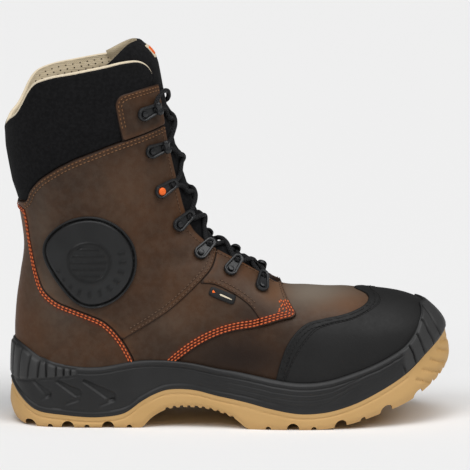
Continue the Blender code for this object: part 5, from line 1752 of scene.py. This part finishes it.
    def wall_at(self, z: Array) -> Array:
        """Inset of the outsole's wall at a height."""
        share = (z - self.base) / (self.join - self.base)
        foot = self.bevel + (self.wall_inset - self.bevel) * ease(share, -0.3, self.bevel_rise)
        return np.where(share < self.bevel_rise, foot,
                        self.wall_inset + (self.lip - self.wall_inset) * ease(share, self.bevel_rise, 1.0))

    def _outsole(self) -> None:
        """Wall with its groove and toe cuts, notched tread and the top under the midsole."""
        inset, well = self.well()
        low = self.base + self.tread(self.x, np.full(self.total, self.bevel))
        toe = ease(-self.from_toe, -62.0, -56.0)
        rings = []
        for t in np.linspace(0.0, 1.0, 18):
            z = low + t * (self.join - low)
            ring = self.ring(self.wall_at(z), z)
            relief = -self.wall_groove.at(self.join - z) * (1.0 - toe)
            for cut in self.toe_cuts:
                relief -= self.toe_cut * ridge(line_distance(ring[:, (0, 2)], np.array(cut))[0], 0.8)
            rings.append(ring + self.outward * (relief * ease(t, 0.0, 0.05))[:, None])
        rings += [self.ring(self.lip + self.lip_width, self.join), self.ring(inset, well)]
        faces = wall_faces(len(rings), self.total) + self.ladder((len(rings) - 1) * self.total, False)
        lateral = np.arange(self.count)
        medial = (self.total - lateral) % self.total
        start, end = rings[0][lateral], rings[0][medial]
        width = np.linalg.norm(end - start, axis=1)
        index = [lateral]
        for share in np.linspace(0.0, 1.0, 50)[1:-1]:
            spot = start + share * (end - start)
            reach = self.bevel + np.minimum(share, 1.0 - share) * width
            spot[:, 2] = self.base[lateral] + self.tread(self.x[lateral], reach)
            index.append(sum(len(ring) for ring in rings) + lateral)
            rings.append(spot)
        numbers = np.vstack((*index, medial))
        quads = numbers.ravel()[grid_quads(*numbers.shape)][:, (0, 3, 2, 1)].tolist()
        columns = [tuple(dict.fromkeys(quad)) for quad in quads]
        faces += [column for column in columns if len(column) > 2]
        item = new_object("lugged_outsole", np.vstack(rings), faces, self.finishes["rubber"], sharp=38.0)
        publish(item, ("outsole",))


@dataclass
class Lacing:
    """Lace loops, hooks and the lace that runs through them."""

    upper: Upper
    finishes: Finishes
    length: float = 10.5
    head: float = 4.8
    tip: float = 3.6
    thick: float = 2.4
    lift: float = 1.3
    lace: float = 1.65
    sides: int = 12
    step: float = 1.1
    reach: float = 15.0
    rest: float = 1.2
    second_lift: float = 1.7
    braid: tuple[float, float] = (1.0 / 2.2, 4.0)
    hollow: float = 1.8
    patch_rise: float = 2.8
    sunk: float = 0.6
    tip_inset: float = 1.6
    tip_rise: float = 0.2
    hook_swell: tuple[float, ...] = (1.6, 2.3, 2.5, 2.0, 1.8, 2.0, 2.5, 2.3, 1.6)
    loose: tuple[tuple[float, float, float], ...] = (
        (1.0, 0.86, 5.5), (5.2, 0.45, 10.5), (8.6, 0.1, 9.5), (9.0, -0.25, 4.0), (5.4, -0.6, 0.0))

    def __post_init__(self) -> None:
        """Makes the tree that fixes parts in their places."""
        self.group = part_tree()

    @staticmethod
    def capsule(end: float, start_radius: float, end_radius: float, z: float, sides: int = 36) -> Array:
        """Outline at a height round two circles on the X axis, the first one at the origin."""
        turn = np.linspace(math.pi / 2, 3 * math.pi / 2, sides // 2)
        first = np.stack((start_radius * np.cos(turn), start_radius * np.sin(turn)), axis=1)
        second = np.stack((end - end_radius * np.cos(turn), -end_radius * np.sin(turn)), axis=1)
        return np.column_stack((np.vstack((first, second)), np.full(2 * len(turn), z)))

    @staticmethod
    def turned(profile: Line, sides: int = 24) -> Mesh:
        """Turned head at the origin."""
        turn = np.linspace(0.0, math.tau, sides, endpoint=False)
        return capped([np.column_stack((r * np.cos(turn), r * np.sin(turn), np.full(sides, z))) for r, z in profile])

    def loop(self, hook: bool) -> Mesh:
        """One loop or hook lying on its XY plane, with its tip along +X."""
        deep = self.thick / 2
        rings = [self.capsule(self.length, self.head - inset, self.tip - inset, z) for inset, z in (
            (0.0, -deep), (0.0, deep - 0.7), (0.4, deep - 0.1), (0.9, deep), (1.4, deep - 0.15))]
        rings += [self.capsule(self.length - 0.2, self.head - self.hollow, self.tip - self.hollow, z)
                  for z in (deep - 0.6, -0.4)]
        head = ((2.1, -0.6), (2.1, deep - 0.5), (1.8, deep), (1.1, deep + 0.2), (0.4, deep + 0.25))
        parts = [capped(rings), self.turned(head)]
        if hook:
            line = np.array([(self.length + 0.4, y, 1.6) for y in np.linspace(-4.4, 4.4, len(self.hook_swell))])
            parts.append(tube(line, np.array(self.hook_swell), 14))
        return joined(*parts)

    def places(self) -> dict[Side, Places]:
        """Centre, facing and direction of every loop, by side."""
        result: dict[Side, Places] = {side: [] for side in Side}
        for side in Side:
            for number, (x, z, tip_x, tip_z) in enumerate(LOOPS):
                place, normal = self.upper.beside(x, z, side)
                ahead = np.array((tip_x - x, 0.0, tip_z - z))
                ahead -= normal * ahead.dot(normal)
                rise = (self.upper.over if number else self.patch_rise) + self.lift + self.thick / 2 - self.sunk
                result[side].append((place + normal * rise, normal, ahead / np.linalg.norm(ahead)))
        return result

    def fixed(self, name: str, mesh: Mesh, spots: Places, finish: str) -> Item:
        """One part set in several places.

        Args:
            name: piece name.
            mesh: the part, lying on its XY plane.
            spots: centre, facing and direction of each.
            finish: name of its finish.
        Returns:
            The piece.
        """
        part = new_object(f"{name} part", mesh[0] + CENTRE, mesh[1], self.finishes[finish])
        work = bmesh.new()
        work.from_mesh(part.data)
        bmesh.ops.recalc_face_normals(work, faces=work.faces)
        work.to_mesh(part.data)
        work.free()
        centres, facings, aheads = (np.array(column) for column in zip(*spots))
        item = grown(name, centres, (), {"facing": facings, "ahead": aheads}, self.group,
                     {"Part": part, "Finish": self.finishes[finish]})
        bpy.data.objects.remove(part)
        return item

    def build(self) -> None:
        """Makes loops, hooks, the accent rivets and the lace."""
        places = self.places()
        for name, hook, pick in (("lace_hooks", True, range(HOOK_COUNT)),
                                 ("lace_loops", False, range(HOOK_COUNT, len(LOOPS)))):
            spots = [places[side][i] for side in Side for i in pick]
            publish(self.fixed(name, self.loop(hook), spots, "hardware"),
                    [f"loop_{side.label}_{i + 1}" for side in Side for i in pick])
        deep = self.thick / 2
        cap = ((2.6, -0.5), (2.6, deep - 0.1), (2.3, deep + 0.3), (1.5, deep + 0.5), (0.5, deep + 0.55))
        publish(self.fixed("rivet_caps", self.turned(cap), [places[side][ACCENT_LOOP] for side in Side], "accent"))
        self._lace(places)

    def _lace(self, places: dict[Side, Places]) -> None:
        """Two crossing runs from the lowest loops up to the top hooks; the first has the bar and the loose loop."""
        reach = self.length - self.tip_inset
        tips = {side: [centre + ahead * reach + facing * self.tip_rise for centre, facing, ahead in spots]
                for side, spots in places.items()}
        names = [f"lace_cross_{i}" for i in range(1, len(LOOPS))] + ["lace_bar"]
        for first in Side:
            leads, side = first is Side.LATERAL, first
            line = [tips[first][-1]]
            if leads:
                line = [tips[first.other][-1], *self._crossing(tips[first.other][-1], tips[first][-1], 0.0)]
            for low in range(len(LOOPS) - 1, 0, -1):
                lift = 0.0 if leads else self.second_lift
                line += self._crossing(tips[side][low], tips[side.other][low - 1], lift)
                side = side.other
            if leads:
                x, y, z = tips[side][0]
                line += [np.array((x + dx, y * share, z + dz)) for dx, share, dz in self.loose]
                line.append(tips[side.other][0])
            knots = np.array(line)
            run = run_of(knots)
            even = np.interp(np.arange(0.0, run[-1], self.step), run, np.arange(len(knots)))
            publish(self._braided(f"lace_{first.label}", smooth_rows(knots, even)), names if leads else ())

    def _crossing(self, start: Array, end: Array, lift: float) -> list[Array]:
        """Run over the tongue from one loop's tip to another.

        Args:
            start: first tip, which is left out.
            end: second tip.
            lift: extra height halfway.
        Returns:
            Points of the run.
        """
        fine = np.linspace(THROAT_ROW - 0.3, LAST_ROW, 1500)
        crest = smooth_rows(UPPER_SECTIONS, fine)[:, :2] - np.array((1.0, 1.0))
        first, last = (fine[np.argmin(((crest - tip[[0, 2]]) ** 2).sum(axis=1))] for tip in (start, end))
        t = np.linspace(0.16, 0.84, 6)
        y = np.clip(start[1] + t * (end[1] - start[1]), -self.reach, self.reach)
        points, normals = self.upper.last.front(first + t * (last - first), y)
        hump = np.sin(np.linspace(0.0, math.pi, len(t)))
        return [*(points + normals * (self.rest + lift * hump)[:, None]), end]

    def _braided(self, name: str, line: Array) -> Item:
        """Lace along a line, with the braid's own coordinates."""
        item = new_object(name, *tube(line, self.lace, self.sides), self.finishes["cord"])
        run = run_of(line)
        corners = [(run[i + ahead], (k + turn) / self.sides) for i in range(len(line) - 1) for k in range(self.sides)
                   for ahead, turn in ((0, 0), (0, 1), (1, 1), (1, 0))]
        table = np.zeros((len(item.data.loops), 2), np.float32)
        table[:len(corners)] = np.array(corners) * np.array(self.braid)
        item.data.uv_layers.new(name="braid").data.foreach_set("uv", table.ravel())
        return item


@dataclass
class Studio:
    """Pale floor, soft light and the camera."""

    target: tuple[float, float, float] = (4.4, -1.2, 126.7)
    distance: float = 2200.0
    elevation: float = 8.5
    azimuth: float = -2.0
    lens: float = 244.2
    sensor: float = 36.0
    floor_half: float = 30.0
    room_light: float = 0.10
    suns: tuple[tuple[str, float, float, float, float], ...] = (
        ("top light", 12.0, 76.0, 1.5, 40.0), ("heel light", -44.0, 47.0, 1.05, 34.0),
        ("toe light", 52.0, 47.0, 1.05, 34.0))

    def build(self) -> None:
        """Sets the stage."""
        scene = bpy.context.scene
        scene.view_settings.view_transform = "Standard"
        self._floor()
        scene.world = bpy.data.worlds.new("soft room")
        scene.world.use_nodes = True
        tree = Tree(scene.world.node_tree)
        tree.feed(tree.tree.nodes["Background"], {"Color": (1.0, 1.0, 1.0, 1.0), "Strength": self.room_light})
        for name, azimuth, elevation, strength, spread in self.suns:
            lamp = bpy.data.lights.new(name, "SUN")
            lamp.energy = strength
            lamp.angle = math.radians(spread)
            item = linked(name, lamp)
            item.rotation_euler = self.direction(azimuth, elevation).to_track_quat("Z", "Y").to_euler()
        camera = bpy.data.cameras.new("camera")
        camera.sensor_width = self.sensor
        camera.lens = self.lens
        camera.clip_end = 100.0
        scene.camera = linked("camera", camera)
        back = self.direction(self.azimuth, self.elevation)
        scene.camera.location = (Vector(self.target) + back * self.distance) * MM
        scene.camera.rotation_euler = back.to_track_quat("Z", "Y").to_euler()

    @staticmethod
    def direction(azimuth: float, elevation: float) -> Vector:
        """Direction from the boot, azimuth 0 being its lateral side."""
        a, e = math.radians(azimuth), math.radians(elevation)
        return Vector((math.sin(a) * math.cos(e), -math.cos(a) * math.cos(e), math.sin(e)))

    def _floor(self) -> None:
        """Wide pale floor."""
        mesh = bpy.data.meshes.new("floor")
        corners = [(x * self.floor_half, y * self.floor_half, 0.0) for x, y in ((-1, -1), (1, -1), (1, 1), (-1, 1))]
        mesh.from_pydata(corners, [], [(0, 1, 2, 3)])
        mesh.materials.append(Finish("pale floor", (0.84, 0.84, 0.84), 0.9, 0.1).make())
        linked("floor", mesh)


def main() -> None:
    """Builds the boot piece by piece and sets the stage."""
    logging.basicConfig(level=logging.INFO, format="%(message)s")
    finishes = {name: finish.make() for name, finish in FINISHES.items()}
    threads = Threads()
    last = Last()
    upper = Upper(last, finishes, threads)
    for piece in (upper, ToeGuard(upper), AnkleGuards(upper), Cuff(upper), Tongue(last, finishes),
                  Sole(upper, finishes), Lacing(upper, finishes)):
        piece.build()
    threads.sew(finishes)
    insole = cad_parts["insole"]
    insole.data.materials.clear()
    insole.data.materials.append(finishes["footbed"])
    Studio().build()


if __name__ == "__main__":
    main()
